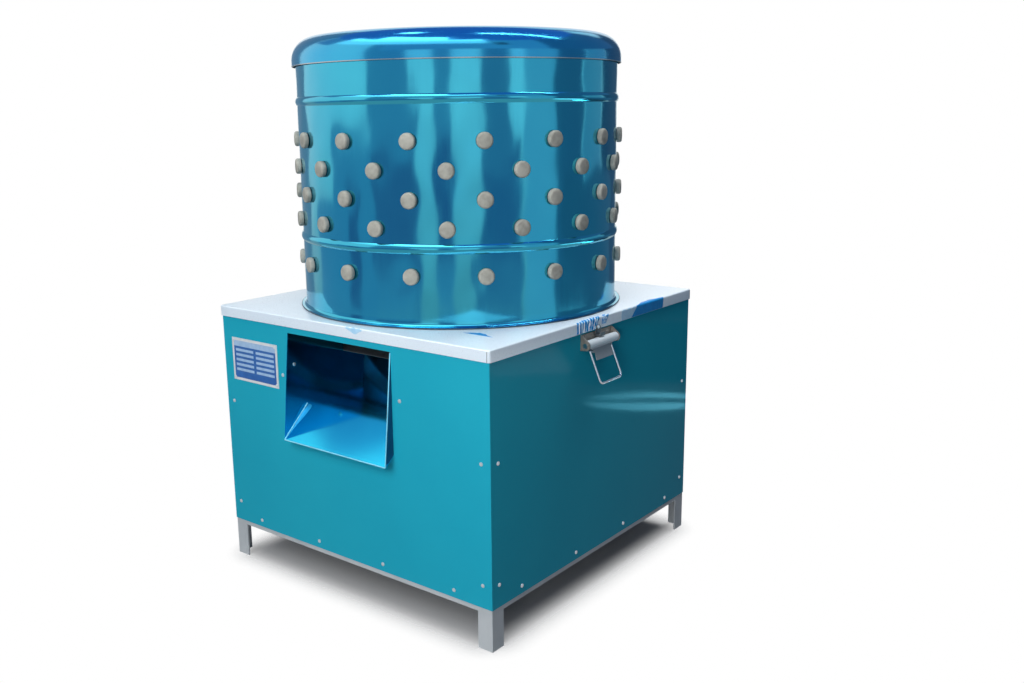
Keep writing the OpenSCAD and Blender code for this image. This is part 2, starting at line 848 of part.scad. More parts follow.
// The tray hangs under the top rails and leads what falls past the disc to the chute
module feather_tray() {
    cut_half = chute_half + chute_t + clear;
    front_y = -tray_half;
    back_y = tray_half;
    wall_line = [[front_y, tray_z(front_y) - tray_drop], [back_y, tray_z(back_y) - tray_drop],
                 [back_y, tray_top], [front_y, tray_top]];
    color("#c9d2d6") difference() {
        union() {
            along_x(2 * tray_half) polygon([
                [front_y, tray_z(front_y)], [back_y, tray_z(back_y)],
                [back_y, tray_z(back_y) - tray_drop], [front_y, tray_z(front_y) - tray_drop]]);
            for (side = [-1, 1]) {
                translate([side * (tray_half - tray_t / 2), 0, 0]) along_x(tray_t) polygon(wall_line);
                translate([side > 0 ? tray_half - tray_t : -tray_half - tray_lip, -tray_half, tray_top - tray_t])
                    cube([tray_lip + tray_t, 2 * tray_half, tray_t]);
            }
            translate([-tray_half, front_y, tray_z(front_y) - tray_drop])
                cube([2 * tray_half, tray_t, tray_top - tray_z(front_y) + tray_drop]);
            translate([-tray_half, back_y - tray_t, tray_z(back_y) - tray_drop])
                cube([2 * tray_half, tray_t, tray_top - tray_z(back_y) + tray_drop]);
            difference() {
                cylinder(r = collar_r + collar_t, h = collar_top);
                along_x(2 * tray_half) polygon([
                    [front_y, 0], [back_y, 0], [back_y, tray_z(back_y)], [front_y, tray_z(front_y)]]);
            }
        }
        cylinder(r = collar_r, h = base_h);
        translate([chute_x - cut_half, front_y - past, 0])
            cube([2 * cut_half, chute_end_y - front_y + past, chute_top_z + clear]);
    }
}

module nameplate() {
    color("#2f6fb5") difference() {
        translate([nameplate_x - nameplate_w / 2, -panel_half - nameplate_t, nameplate_z - nameplate_h / 2])
            cube([nameplate_w, nameplate_t, nameplate_h]);
        at_nameplate_pins() rivet_hole(pin_r + 0.1);
    }
}

// Tube with a seat for a bearing and a seal at each end, on a square flange
module bearing_housing() {
    color("#6f777b") difference() {
        union() {
            translate([0, 0, housing_z]) cylinder(r = housing_r, h = housing_l);
            translate([-housing_flange_w / 2, -housing_flange_w / 2, beam_top])
                cube([housing_flange_w, housing_flange_w, housing_flange_t]);
        }
        translate([0, 0, housing_z - past]) cylinder(r = bearing_r - bearing_lip, h = housing_l + 2 * past);
        translate([0, 0, housing_z - past]) cylinder(r = bearing_r + run, h = past + low_seal_t + bearing_w);
        translate([0, 0, bearing_zs[1]]) cylinder(r = bearing_r + run, h = bearing_w + seal_t + past);
        at_housing_bolts() translate([0, 0, -past]) cylinder(r = bolt_hole_r, h = housing_flange_t + 2 * past);
    }
}

// Half of the groove that the balls run in, cut out of a bearing ring
module ball_track() {
    translate([0, 0, bearing_w / 2]) rotate_extrude()
        translate([ball_ring_r, 0]) circle(r = ball_r + clear / 2);
}

module bearing_outer_rings() {
    color("#c4c8ca") for (z = bearing_zs)
        translate([0, 0, z]) difference() {
            ring(bearing_r, bearing_r - ring_wall, bearing_w);
            ball_track();
        }
}

module bearing_inner_rings() {
    color("#c4c8ca") for (z = bearing_zs)
        translate([0, 0, z]) difference() {
            ring(shaft_r + ring_wall, shaft_r + run, bearing_w);
            ball_track();
        }
}

module bearing_balls() {
    color("#dfe3e5") for (z = bearing_zs, k = [0:ball_count - 1])
        rotate([0, 0, 360 * k / ball_count]) translate([ball_ring_r, 0, z + bearing_w / 2]) sphere(r = ball_r);
}

module shaft_seals() {
    color("#26282a") {
        translate([0, 0, housing_z]) ring(bearing_r, shaft_r + clear, bearing_zs[0] - housing_z);
        translate([0, 0, housing_top - seal_t]) ring(bearing_r, shaft_r + clear, seal_t);
    }
}

module bearing_bolts() {
    color("#aab0b3") at_housing_bolts() {
        translate([0, 0, housing_flange_t]) bolt(bolt_r, housing_flange_t + beam_t + nut_h + 1, bolt_head_h);
        translate([0, 0, -beam_t]) nut(bolt_r, nut_h);
    }
}

module motor_plate() {
    color("#7d8589") difference() {
        translate([-motor_plate_w / 2, drive_centres - motor_plate_w / 2, beam_top])
            cube([motor_plate_w, motor_plate_w, motor_plate_t]);
        translate([0, drive_centres, beam_top - past])
            cylinder(r = driver_r + 6, h = motor_plate_t + 2 * past);
        at_plate_bolts() translate([0, 0, -past])
            cylinder(r = motor_bolt_d / 2 + clear, h = motor_plate_t + 2 * past);
        at_bell_bolts() translate([0, 0, -motor_plate_t - past])
            cylinder(r = motor_bolt_d / 2 + clear, h = motor_plate_t + 2 * past);
    }
}

module motor_bolts() {
    r = motor_bolt_d / 2;
    color("#aab0b3") {
        at_plate_bolts() {
            translate([0, 0, motor_plate_t]) bolt(r, motor_plate_t + beam_t + nut_h + 1, bolt_head_h);
            translate([0, 0, -beam_t]) nut(r, nut_h);
        }
        at_bell_bolts() {
            translate([0, 0, bell_flange_t]) bolt(r, bell_flange_t + motor_plate_t + nut_h + 1, bolt_head_h);
            translate([0, 0, -motor_plate_t]) nut(r, nut_h);
        }
    }
}

// Lower end bell with the motor's mounting flange and a bearing seat
module motor_flange_bell() {
    color("#4c6a7a") difference() {
        translate([0, drive_centres, motor_z]) difference() {
            union() {
                cylinder(r = bell_flange_d / 2, h = bell_flange_t);
                cylinder(r = motor_r - bell_step, h = bell_l);
            }
            translate([0, 0, -past]) cylinder(r = motor_shaft_r + shaft_room, h = bell_l + 2 * past);
            translate([0, 0, bell_l - motor_bearing_w])
                cylinder(r = motor_bearing_r + run, h = motor_bearing_w + past);
        }
        at_bell_bolts() translate([0, 0, -past])
            cylinder(r = motor_bolt_d / 2 + clear, h = bell_flange_t + 2 * past);
    }
}

// Finned tube of the motor; the fins leave a gap for the terminal box
module motor_housing() {
    fin_count = 24;
    color("#4c6a7a") translate([0, drive_centres, motor_body_z]) difference() {
        union() {
            cylinder(r = motor_r, h = motor_l);
            for (k = [2:fin_count - 2])
                rotate([0, 0, 360 * k / fin_count])
                    translate([motor_r - 1, -fin_t / 2, fin_inset]) cube([fin_h + 1, fin_t, motor_l - 2 * fin_inset]);
        }
        translate([0, 0, -past]) cylinder(r = motor_r - motor_wall, h = motor_l + 2 * past);
    }
}

module motor_stator() {
    outer_r = motor_r - motor_wall - run;
    color("#8b5a2b") translate([0, drive_centres, motor_body_z + winding_l])
        ring(outer_r, outer_r - stator_t, core_l);
}

module motor_bearings() {
    color("#c4c8ca") for (z = [motor_body_z - motor_bearing_w, motor_body_top])
        translate([0, drive_centres, z]) ring(motor_bearing_r, motor_shaft_r + run, motor_bearing_w);
}

module motor_rear_bell() {
    color("#4c6a7a") translate([0, drive_centres, motor_body_top]) difference() {
        cylinder(r = motor_r, h = rear_bell_t);
        translate([0, 0, -past]) cylinder(r = motor_shaft_r + shaft_room, h = rear_bell_t + 2 * past);
        translate([0, 0, -past]) cylinder(r = motor_bearing_r + run, h = motor_bearing_w + past);
    }
}

// Cover over the fan, pushed over the rear bell, with slots in its end
module motor_fan_cover() {
    slot_count = 8;
    color("#3d5562") translate([0, drive_centres, motor_body_top + cover_lift]) difference() {
        cylinder(r = cover_r, h = cover_l);
        translate([0, 0, -past]) cylinder(r = cover_r - cover_t, h = cover_l + past - cover_t);
        for (k = [0:slot_count - 1])
            rotate([0, 0, 360 * k / slot_count]) translate([slot_in, -slot_w / 2, cover_l - 2 * cover_t])
                cube([slot_l, slot_w, 3 * cover_t]);
    }
    color("#3d5562") translate([0, drive_centres, motor_body_top + cover_lift])
        for (k = [0:3]) rotate([0, 0, 45 + 90 * k])
            translate([motor_r + run, -spacer_w / 2, spacer_w / 4])
                cube([cover_r - cover_t / 2 - motor_r - run, spacer_w, spacer_w]);
}

module motor_terminal_box() {
    color("#4c6a7a") translate([0, drive_centres, motor_body_z + terminal_lift]) difference() {
        translate([motor_r - terminal_seat, -terminal_box[1] / 2, 0]) cube(terminal_box);
        translate([0, 0, -past]) cylinder(r = motor_r + run, h = terminal_box[2] + 2 * past);
    }
}

// Cross-section of the belt at pitch radius r, or of its groove with a gap around it
module belt_section(r, gap = 0) {
    polygon([[r - belt_in - gap, -belt_half_low - gap], [r + belt_out + gap, -belt_half_top - gap],
             [r + belt_out + gap, belt_half_top + gap], [r - belt_in - gap, belt_half_low + gap]]);
}

// The belt runs round both pulleys, with a straight on either side
module drive_belt() {
    straight = drive_centres * cos(belt_angle);
    color("#1d1e20") translate([0, 0, belt_z]) {
        rotate([0, 0, 180 - belt_angle]) rotate_extrude(angle = 180 + 2 * belt_angle) belt_section(driven_r);
        translate([0, drive_centres, 0]) rotate([0, 0, belt_angle])
            rotate_extrude(angle = 180 - 2 * belt_angle) belt_section(driver_r);
        for (side = [0, 1]) mirror([side, 0, 0])
            rotate([0, 0, belt_angle]) translate([0, straight + belt_lap, 0])
                rotate([90, 0, 0]) linear_extrude(straight + 2 * belt_lap) belt_section(driven_r, -belt_slim);
    }
}

// A grooved pulley with a web and a bored hub, centred on z = 0
module pulley(pitch_r, bore_r, hub_r) {
    floor_r = pitch_r - belt_in;
    difference() {
        union() {
            translate([0, 0, -pulley_w / 2]) ring(pitch_r + belt_out + clear, floor_r - pulley_wall, pulley_w);
            translate([0, 0, -pulley_w / 4]) cylinder(r = floor_r - past, h = pulley_w / 2);
            translate([0, 0, -pulley_w / 2 - pulley_hub_proud])
                cylinder(r = hub_r, h = pulley_w + 2 * pulley_hub_proud);
        }
        translate([0, 0, -pulley_w]) cylinder(r = bore_r, h = 2 * pulley_w);
        rotate_extrude() belt_section(pitch_r, clear);
    }
}

module driven_pulley() {
    color("#5e666a") translate([0, 0, belt_z]) pulley(driven_r, shaft_r + run, shaft_r + driven_hub_wall);
}

module motor_pulley() {
    color("#5e666a") translate([0, drive_centres, belt_z])
        pulley(driver_r, motor_shaft_r + run, motor_shaft_r + driver_hub_wall);
}

module main_shaft() {
    color("#b9bfc2") translate([0, 0, shaft_bottom]) difference() {
        cylinder(r = shaft_r, h = shaft_top - shaft_bottom);
        translate([0, 0, shaft_top - shaft_bottom - centre_bolt_l - tap_past])
            cylinder(r = centre_bolt_d / 2 + run, h = centre_bolt_l + tap_past + past);
    }
}

module rotor_hub() {
    color("#8d9598") difference() {
        union() {
            translate([0, 0, hub_z]) cylinder(r = hub_flange_d / 2, h = hub_flange_t);
            translate([0, 0, hub_z - hub_boss_l]) cylinder(r = hub_boss_d / 2, h = hub_boss_l + 1);
        }
        translate([0, 0, hub_z - hub_boss_l - past])
            cylinder(r = shaft_r + run, h = hub_boss_l + hub_flange_t + 2 * past);
        at_hub_bolts() translate([0, 0, -hub_flange_t - past])
            cylinder(r = hub_bolt_d / 2 + run, h = hub_flange_t + 2 * past);
    }
}

// Places of the bolts that hold the disc on the hub, on the disc's underside
module at_hub_bolts() {
    for (k = [0:hub_bolt_count - 1])
        rotate([0, 0, 360 * k / hub_bolt_count]) translate([hub_bolt_r, 0, disc_z]) children();
}

// Places of the sweepers' bolts, on the disc's underside
module at_sweeper_bolts() {
    for (k = [0, 1], x = [0.25, 0.75])
        rotate([0, 0, 180 * k]) translate([sweeper_r + x * sweeper_l, sweeper_w / 4, disc_z]) children();
}

// Places of the rotor's fingers, on the disc's underside
module at_rotor_fingers() {
    for (r = ring_rs) {
        count = floor(2 * PI * r / ring_pitch);
        for (k = [0:count - 1])
            rotate([0, 0, 360 * k / count]) translate([r, 0, disc_z]) children();
    }
}

module rotor_disc() {
    color("#c7ced2") difference() {
        translate([0, 0, disc_z]) cylinder(r = disc_r, h = disc_t, $fn = 128);
        translate([0, 0, disc_z - past]) cylinder(r = shaft_r + run, h = disc_t + 2 * past);
        at_rotor_fingers() translate([0, 0, -past]) cylinder(r = finger_hole_r, h = disc_t + 2 * past);
        at_hub_bolts() translate([0, 0, -past]) cylinder(r = hub_bolt_d / 2 + run, h = disc_t + 2 * past);
        at_sweeper_bolts() translate([0, 0, -past]) cylinder(r = sweeper_bolt_d / 2 + run, h = disc_t + 2 * past);
    }
}

module rotor_bolts() {
    color("#aab0b3") {
        at_hub_bolts() translate([0, 0, disc_t]) bolt(hub_bolt_d / 2, disc_t + hub_flange_t, hub_bolt_head);
        at_sweeper_bolts() translate([0, 0, disc_t]) bolt(sweeper_bolt_d / 2, disc_t + sweeper_t, sweeper_bolt_head);
        translate([0, 0, disc_top]) difference() {
            cylinder(r = washer_d / 2, h = washer_t);
            translate([0, 0, -past]) cylinder(r = centre_bolt_d / 2 + run, h = washer_t + 2 * past);
        }
        translate([0, 0, disc_top + washer_t]) bolt(centre_bolt_d / 2, washer_t + 1 + centre_bolt_l, centre_bolt_head);
    }
}

// Two angle brackets under the disc sweep the feathers round to the chute
module sweeper_blades() {
    color("#9aa3a7") difference() {
        for (k = [0, 1]) rotate([0, 0, 180 * k]) {
            translate([sweeper_r, -sweeper_w / 2, disc_z - sweeper_t]) cube([sweeper_l, sweeper_w, sweeper_t]);
            translate([sweeper_r, -sweeper_w / 2, disc_z - sweeper_t - sweeper_depth])
                cube([sweeper_l, sweeper_t, sweeper_depth + 1]);
        }
        at_sweeper_bolts() translate([0, 0, -sweeper_t - past])
            cylinder(r = sweeper_bolt_d / 2 + run, h = sweeper_t + 2 * past);
    }
}

// A rubber finger: its head stands on z = 0, its ribbed body hangs below the wall it grips
module finger(grip) {
    low_round = 1.5;
    collar = 5;
    rib_l = finger_l - collar - 4;
    pitch = rib_l / rib_count;
    root_r = neck_r + 0.6;
    tip_r = tip_d / 2;
    function body_r(i) = root_r + (tip_r - root_r) * i / rib_count;
    ribs = [for (i = [0:rib_count - 1], j = [0, 1])
        [body_r(i + j / 2) - (j == 0 ? rib_h : 0), -grip - collar - (i + j / 2) * pitch]];
    rotate_extrude($fn = 48) polygon(concat(
        [[0, -grip - finger_l], [0, head_t]],
        arc([head_r - head_round, head_t - head_round], head_round, 90, 0, 5),
        arc([head_r - low_round, low_round], low_round, 0, -90, 2),
        [[neck_r, 0], [neck_r, -grip], [shoulder_d / 2, -grip], [shoulder_d / 2 - 0.6, -grip - collar + 1]],
        ribs,
        [[tip_r, -grip - finger_l + 3], [tip_r - 2.5, -grip - finger_l]]));
}

// Places of the drum's fingers, pointing outwards, every other row turned by half a step
module at_drum_fingers() {
    step = 360 / row_count;
    for (i = [0:4], k = [0:row_count - 1])
        rotate([0, 0, row_angle - (i % 2) * step / 2 + k * step]) translate([0, 0, row_zs[i]])
            rotate([0, 90, 0]) children();
}

module rotor_fingers() {
    color("#a9aba6") at_rotor_fingers() translate([0, 0, -run]) rotate([180, 0, 0]) finger(disc_grip);
}

module drum_fingers() {
    color("#b1b3ad") at_drum_fingers() translate([0, 0, finger_seat_r]) finger(drum_grip);
}

// Spun sheet wall: spigot, foot flange, two swaged beads and a seat for the rim
module drum() {
    edge_r = foot_t / 2;
    foot_top = base_h + foot_t;
    bead_in = bead_arc_r - bead_h;
    beads = [base_h + bead_low, base_h + bead_high];
    outer = concat(
        [[drum_r, spigot_z], [drum_r, base_h]],
        arc([drum_r + foot_reach - edge_r, base_h + edge_r], edge_r, -90, 90, 6),
        arc([drum_r + foot_fillet, foot_top + foot_fillet], foot_fillet, 270, 180, 8),
        arc([drum_r - bead_in, beads[0]], bead_arc_r, -bead_half_angle, bead_half_angle, 8),
        arc([drum_r - bead_in, beads[1]], bead_arc_r, -bead_half_angle, bead_half_angle, 8),
        [[drum_r, rim_seat_z], [rim_r - rim_t - run, rim_seat_z], [rim_r - rim_t - run, rim_seat_z + rim_seat_t]]);
    inner = concat(
        [[drum_inner_r, rim_seat_z + rim_seat_t]],
        arc([drum_inner_r - bead_in, beads[1]], bead_arc_r, bead_half_angle, -bead_half_angle, 8),
        arc([drum_inner_r - bead_in, beads[0]], bead_arc_r, bead_half_angle, -bead_half_angle, 8),
        [[drum_inner_r, spigot_z]]);
    color("#2a86b0") difference() {
        rotate_extrude($fn = 128) polygon(concat(outer, inner));
        at_drum_fingers() translate([0, 0, drum_r - 10]) cylinder(r = finger_hole_r, h = 20);
    }
}

// Rolled ring over the drum's edge: skirt, rounded shoulder, inner roll and a turned-down lip
module drum_rim() {
    roll_c = [rim_crown_r, rim_top - rim_roll];
    crown_c = [rim_crown_r, rim_crown_z];
    color("#1f5fb0") rotate_extrude($fn = 128) polygon(concat(
        [[rim_r, rim_edge_z]],
        arc(crown_c, rim_round, 0, 90, 16),
        arc(roll_c, rim_roll, 90, 180, 8),
        [[mouth_r, rim_edge_z], [mouth_r + rim_t, rim_edge_z]],
        arc(roll_c, rim_roll - rim_t, 180, 90, 8),
        arc(crown_c, rim_round - rim_t, 90, 0, 16),
        [[rim_r - rim_t, rim_edge_z]]));
}

module top_plate() {
    color("#e4edf2") difference() {
        translate([0, 0, skirt_bottom_z]) rounded_box(plate_half, plate_corner_r, skirt_h);
        translate([0, 0, skirt_bottom_z - past])
            rounded_box(plate_half - plate_t, plate_corner_r - plate_t, skirt_h + past - plate_t);
        translate([0, 0, base_h - plate_t - past]) cylinder(r = drum_r + clear, h = plate_t + 2 * past, $fn = 128);
        at_keeper_rivet() rivet_hole();
        at_upper_leaf_rivets() rivet_hole();
    }
}

// Outline in X and Z of an ear: its front edge runs from the base plate's top down to a round nose
module ear_outline() {
    rise = [latch_t - knuckle_out, latch_base_top - knuckle_z];
    touch = atan2(rise[1], rise[0]) - acos(ear_r / norm(rise));
    polygon([[0, latch_base_low], [knuckle_out, knuckle_z - ear_r],
             [knuckle_out + ear_r * cos(touch), knuckle_z + ear_r * sin(touch)],
             [latch_t, latch_base_top], [0, latch_base_top]]);
    translate([knuckle_out, knuckle_z]) circle(r = ear_r);
}

// Base plate of the latch with two ears that carry the lever's pin
module latch_base() {
    color("#b9bec0") difference() {
        translate([panel_half, latch_y - latch_w / 2, 0]) {
            translate([0, 0, latch_base_low]) cube([latch_t, latch_w, latch_base_top - latch_base_low]);
            for (y = [ear_t, latch_w])
                translate([0, y, 0]) rotate([90, 0, 0]) linear_extrude(ear_t) ear_outline();
        }
        along_latch_axis(latch_w + 2 * past) cylinder(r = latch_pin_r + run, h = latch_w + 2 * past);
        at_latch_rivets() rivet_hole();
    }
}

// A piece of the given length laid along the lever's axis, centred on the latch
module along_latch_axis(l) {
    translate([knuckle_x, latch_y + l / 2, knuckle_z]) rotate([90, 0, 0]) children();
}

module latch_pin() {
    color("#d5d9db") {
        along_latch_axis(latch_w) cylinder(r = latch_pin_r, h = latch_w);
        for (side = [-1, 1])
            translate([0, side * (latch_w + pin_head_t) / 2, 0])
                along_latch_axis(pin_head_t) cylinder(r = latch_pin_r + pin_head_rim, h = pin_head_t);
    }
}

// Lever: a knuckle, a tapered plate that hangs from it and two lugs for the bail
module latch_lever() {
    plate_t = latch_t;
    color("#aeb6ba") translate([knuckle_x, latch_y, knuckle_z]) rotate([0, -lever_lean, 0]) difference() {
        union() {
            translate([0, knuckle_l / 2, 0]) rotate([90, 0, 0]) cylinder(r = knuckle_r, h = knuckle_l);
            translate([-plate_t / 2, 0, 0]) rotate([90, 0, 90]) linear_extrude(plate_t) polygon([
                [-lever_root_w / 2, 0], [lever_root_w / 2, 0], [lever_root_w / 2, -knuckle_r - 1],
                [lever_w / 2, -bail_drop - 1], [lever_w / 2, -lever_l], [-lever_w / 2, -lever_l],
                [-lever_w / 2, -bail_drop - 1], [-lever_root_w / 2, -knuckle_r - 1]]);
            for (y = [-lever_w / 2, lever_w / 2 - lug_t]) {
                translate([-bail_back, y, -bail_drop - lug_r]) cube([bail_back, lug_t, 2 * lug_r]);
                translate([-bail_back, y + lug_t, -bail_drop]) rotate([90, 0, 0]) cylinder(r = lug_r, h = lug_t);
            }
        }
        translate([0, latch_w / 2, 0]) rotate([90, 0, 0]) cylinder(r = latch_pin_r + run, h = latch_w);
        translate([-bail_back, latch_w / 2, -bail_drop]) rotate([90, 0, 0]) cylinder(r = wire_r + run, h = latch_w);
    }
}

// Wire bail: two legs, a bottom, round corners and two ends turned into the lever's lugs
module latch_bail() {
    half = bail_w / 2;
    leg = bail_l - bail_bend;
    end_in = half - lever_w / 2 + lug_t;
    color("#e8ecee") translate([bail_pivot_x, latch_y, bail_pivot_z]) rotate([0, -bail_lean, 0]) {
        for (side = [0, 1]) mirror([0, side, 0]) {
            translate([0, half, -leg]) cylinder(r = wire_r, h = leg);
            translate([0, half, 0]) sphere(r = wire_r);
            translate([0, half, 0]) rotate([90, 0, 0]) cylinder(r = wire_r, h = end_in);
            translate([0, half - bail_bend, -leg]) rotate([0, 90, 0]) rotate_extrude(angle = 90)
                translate([bail_bend, 0]) circle(r = wire_r);
        }
        translate([0, half - bail_bend, -bail_l]) rotate([90, 0, 0])
            cylinder(r = wire_r, h = 2 * (half - bail_bend));
    }
}

// Strap with a round top on the skirt's lower edge, ending in a hook for the bail
module latch_keeper() {
    nose_r = keeper_w / 2;
    color("#6d7376") difference() {
        translate([plate_half, latch_y - nose_r, 0]) {
            translate([0, 0, keeper_low]) cube([latch_t, keeper_w, keeper_top - nose_r - keeper_low]);
            translate([0, nose_r, keeper_top - nose_r]) rotate([0, 90, 0]) cylinder(r = nose_r, h = latch_t);
            translate([0, 0, keeper_low]) cube([latch_t + hook_reach, keeper_w, latch_t]);
            translate([hook_reach, 0, keeper_low]) cube([latch_t, keeper_w, 3 * latch_t]);
        }
        at_keeper_rivet() rivet_hole();
    }
}

// One row of hinge knuckles, taking every other place from first
module hinge_knuckles(first) {
    for (i = [first:2:knuckle_count - 1])
        translate([hinge_x, -hinge_l / 2 + (i + 1) * knuckle_step - leaf_gap / 2, hinge_z])
            rotate([90, 0, 0]) cylinder(r = hinge_knuckle_r, h = knuckle_step - leaf_gap);
}

// Webs that join such a row of knuckles to its leaf, from x to the leaf and between two heights
module hinge_webs(first, x, low, high) {
    for (i = [first:2:knuckle_count - 1])
        translate([hinge_x, -hinge_l / 2 + i * knuckle_step + leaf_gap / 2, low])
            cube([x - hinge_x, knuckle_step - leaf_gap, high - low]);
}

// Bore along both hinges' axis
module hinge_bore() {
    translate([hinge_x, hinge_l, hinge_z]) rotate([90, 0, 0])
        cylinder(r = hinge_pin_r + run, h = 2 * hinge_l);
}

module hinge_lower_leaves() {
    color("#c3c8ca") difference() {
        for (h = [-1, 1]) translate([0, h * hinge_y, 0]) difference() {
            union() {
                hinge_knuckles(0);
                hinge_webs(0, -panel_half, hinge_z - hinge_knuckle_r, lower_leaf_top);
                translate([-panel_half - leaf_t, -hinge_l / 2, lower_leaf_top - lower_leaf_h])
                    cube([leaf_t, hinge_l, lower_leaf_h]);
            }
            hinge_bore();
        }
        at_lower_leaf_rivets() rivet_hole();
    }
}

module hinge_upper_leaves() {
    color("#c3c8ca") difference() {
        for (h = [-1, 1]) translate([0, h * hinge_y, 0]) difference() {
            union() {
                hinge_knuckles(1);
                hinge_webs(1, -plate_half, hinge_z + 2, upper_leaf_low + 1);
                translate([-plate_half - leaf_t, -hinge_l / 2, upper_leaf_low])
                    cube([leaf_t, hinge_l, base_h - 1 - upper_leaf_low]);
            }
            hinge_bore();
        }
        at_upper_leaf_rivets() rivet_hole();
    }
}

module hinge_pins() {
    color("#d5d9db") for (h = [-1, 1])
        translate([hinge_x, h * hinge_y + hinge_l / 2, hinge_z]) rotate([90, 0, 0]) {
            cylinder(r = hinge_pin_r, h = hinge_l);
            translate([0, 0, -hinge_head_t]) cylinder(r = hinge_pin_r + hinge_head_rim, h = hinge_head_t);
            translate([0, 0, hinge_l]) cylinder(r = hinge_pin_r + hinge_head_rim, h = hinge_head_t);
        }
}

module base_fitting_rivets() {
    color("#e3e7e8") {
        at_latch_rivets() rivet(latch_t + panel_t + rivet_tail);
        at_lower_leaf_rivets() rivet(leaf_t + panel_t + rivet_tail);
    }
}

module lid_rivets() {
    color("#e3e7e8") {
        at_keeper_rivet() rivet(latch_t + plate_t);
        at_upper_leaf_rivets() rivet(leaf_t + plate_t);
    }
}

// Moulded box on the back panel, open towards its cover
module switch_box() {
    wall = switch_wall;
    boss = 2 * switch_screw_inset - wall;
    color("#3a3f44") translate([switch_x - switch_w / 2, panel_half, switch_z - switch_h / 2]) difference() {
        union() {
            difference() {
                cube([switch_w, switch_d, switch_h]);
                translate([wall, wall, wall])
                    cube([switch_w - 2 * wall, switch_d, switch_h - 2 * wall]);
            }
            for (x = [0, switch_w - boss], z = [0, switch_h - boss])
                translate([x, 0, z]) cube([boss, switch_d, boss]);
        }
        for (x = [switch_screw_inset, switch_w - switch_screw_inset],
             z = [switch_screw_inset, switch_h - switch_screw_inset])
            translate([x, switch_d - switch_tap_l, z]) rotate([-90, 0, 0])
                cylinder(r = switch_screw_r + run, h = switch_tap_l + past);
        translate([switch_w / 2, gland_y - panel_half, -past])
            cylinder(r = gland_r + run, h = wall + 2 * past);
    }
}

module switch_cover() {
    color("#2d3135") difference() {
        translate([switch_x - switch_w / 2, switch_front, switch_z - switch_h / 2])
            cube([switch_w, cover_plate_t, switch_h]);
        for (side = [-1, 1])
            translate([switch_x, switch_front - past, switch_z + side * button_step / 2])
                rotate([-90, 0, 0]) cylinder(r = button_r + clear, h = cover_plate_t + 2 * past);
        at_switch_screws() translate([0, 0, -cover_plate_t - past])
            cylinder(r = switch_screw_r + clear, h = cover_plate_t + 2 * past);
    }
}

module switch_screws() {
    color("#c9cdd0") at_switch_screws() {
        cylinder(r = 2 * switch_screw_r, h = switch_screw_head);
        translate([0, 0, -switch_screw_l]) cylinder(r = switch_screw_r, h = switch_screw_l);
    }
}

module contact_block() {
    color("#d8d4c8") translate([switch_x - block_w / 2, block_y, switch_z - button_step / 2 - block_past])
        cube([block_w, block_t, button_step + 2 * block_past]);
}

// A push button: cap, a lip behind the cover and a stem that reaches for the contact block
module push_button(z) {
    lip_back = switch_front - clear;
    stem_end = block_y + block_t + button_travel + clear;
    translate([switch_x, 0, z]) rotate([-90, 0, 0]) {
        translate([0, 0, lip_back - button_lip_t])
            cylinder(r = button_r, h = cover_plate_t + clear + button_lip_t + button_proud);
        translate([0, 0, lip_back - button_lip_t]) cylinder(r = button_r + button_lip, h = button_lip_t);
        translate([0, 0, stem_end]) cylinder(r = stem_r, h = lip_back - stem_end);
    }
}

module start_button() {
    color("#2f9e44") push_button(switch_z + button_step / 2);
}

module stop_button() {
    color("#c92a2a") push_button(switch_z - button_step / 2);
}

// Gland under the switch box, with a bore for the supply cable
module cable_gland() {
    color("#26282a") translate([switch_x, gland_y, switch_z - switch_h / 2]) difference() {
        union() {
            translate([0, 0, -gland_l]) cylinder(r = gland_hex_r, h = gland_l, $fn = 6);
            translate([0, 0, -gland_l - gland_nut_l]) cylinder(r = gland_hex_r - gland_nut_step, h = gland_nut_l);
            translate([0, 0, -1]) cylinder(r = gland_r, h = gland_thread_l + 1);
        }
        translate([0, 0, -gland_l - gland_nut_l - past])
            cylinder(r = gland_bore_d / 2, h = gland_l + gland_nut_l + gland_thread_l + 2 * past);
    }
}

// Shaft with the rotor's core pressed on it
module motor_shaft() {
    core_r = motor_r - motor_wall - run - stator_t - air_gap;
    low = belt_z - pulley_w / 2 - pulley_hub_proud - 1;
    color("#b9bfc2") translate([0, drive_centres, 0]) {
        translate([0, 0, low]) cylinder(r = motor_shaft_r, h = fan_z + fan_t + 2 - low);
        translate([0, 0, motor_body_z + winding_l + core_gap]) cylinder(r = core_r, h = core_l - 2 * core_gap);
    }
}

module motor_fan() {
    blade_count = 7;
    hub_r = motor_shaft_r + fan_hub_wall;
    color("#34393c") translate([0, drive_centres, fan_z]) difference() {
        union() {
            cylinder(r = hub_r, h = fan_t);
            cylinder(r = fan_r, h = fan_disc_t);
            for (k = [0:blade_count - 1])
                rotate([0, 0, 360 * k / blade_count]) translate([hub_r - blade_t, -blade_t / 2, fan_disc_t / 2])
                    cube([fan_r - hub_r, blade_t, fan_t - fan_disc_t]);
        }
        translate([0, 0, -past]) cylinder(r = motor_shaft_r + run, h = fan_t + 2 * past);
    }
}

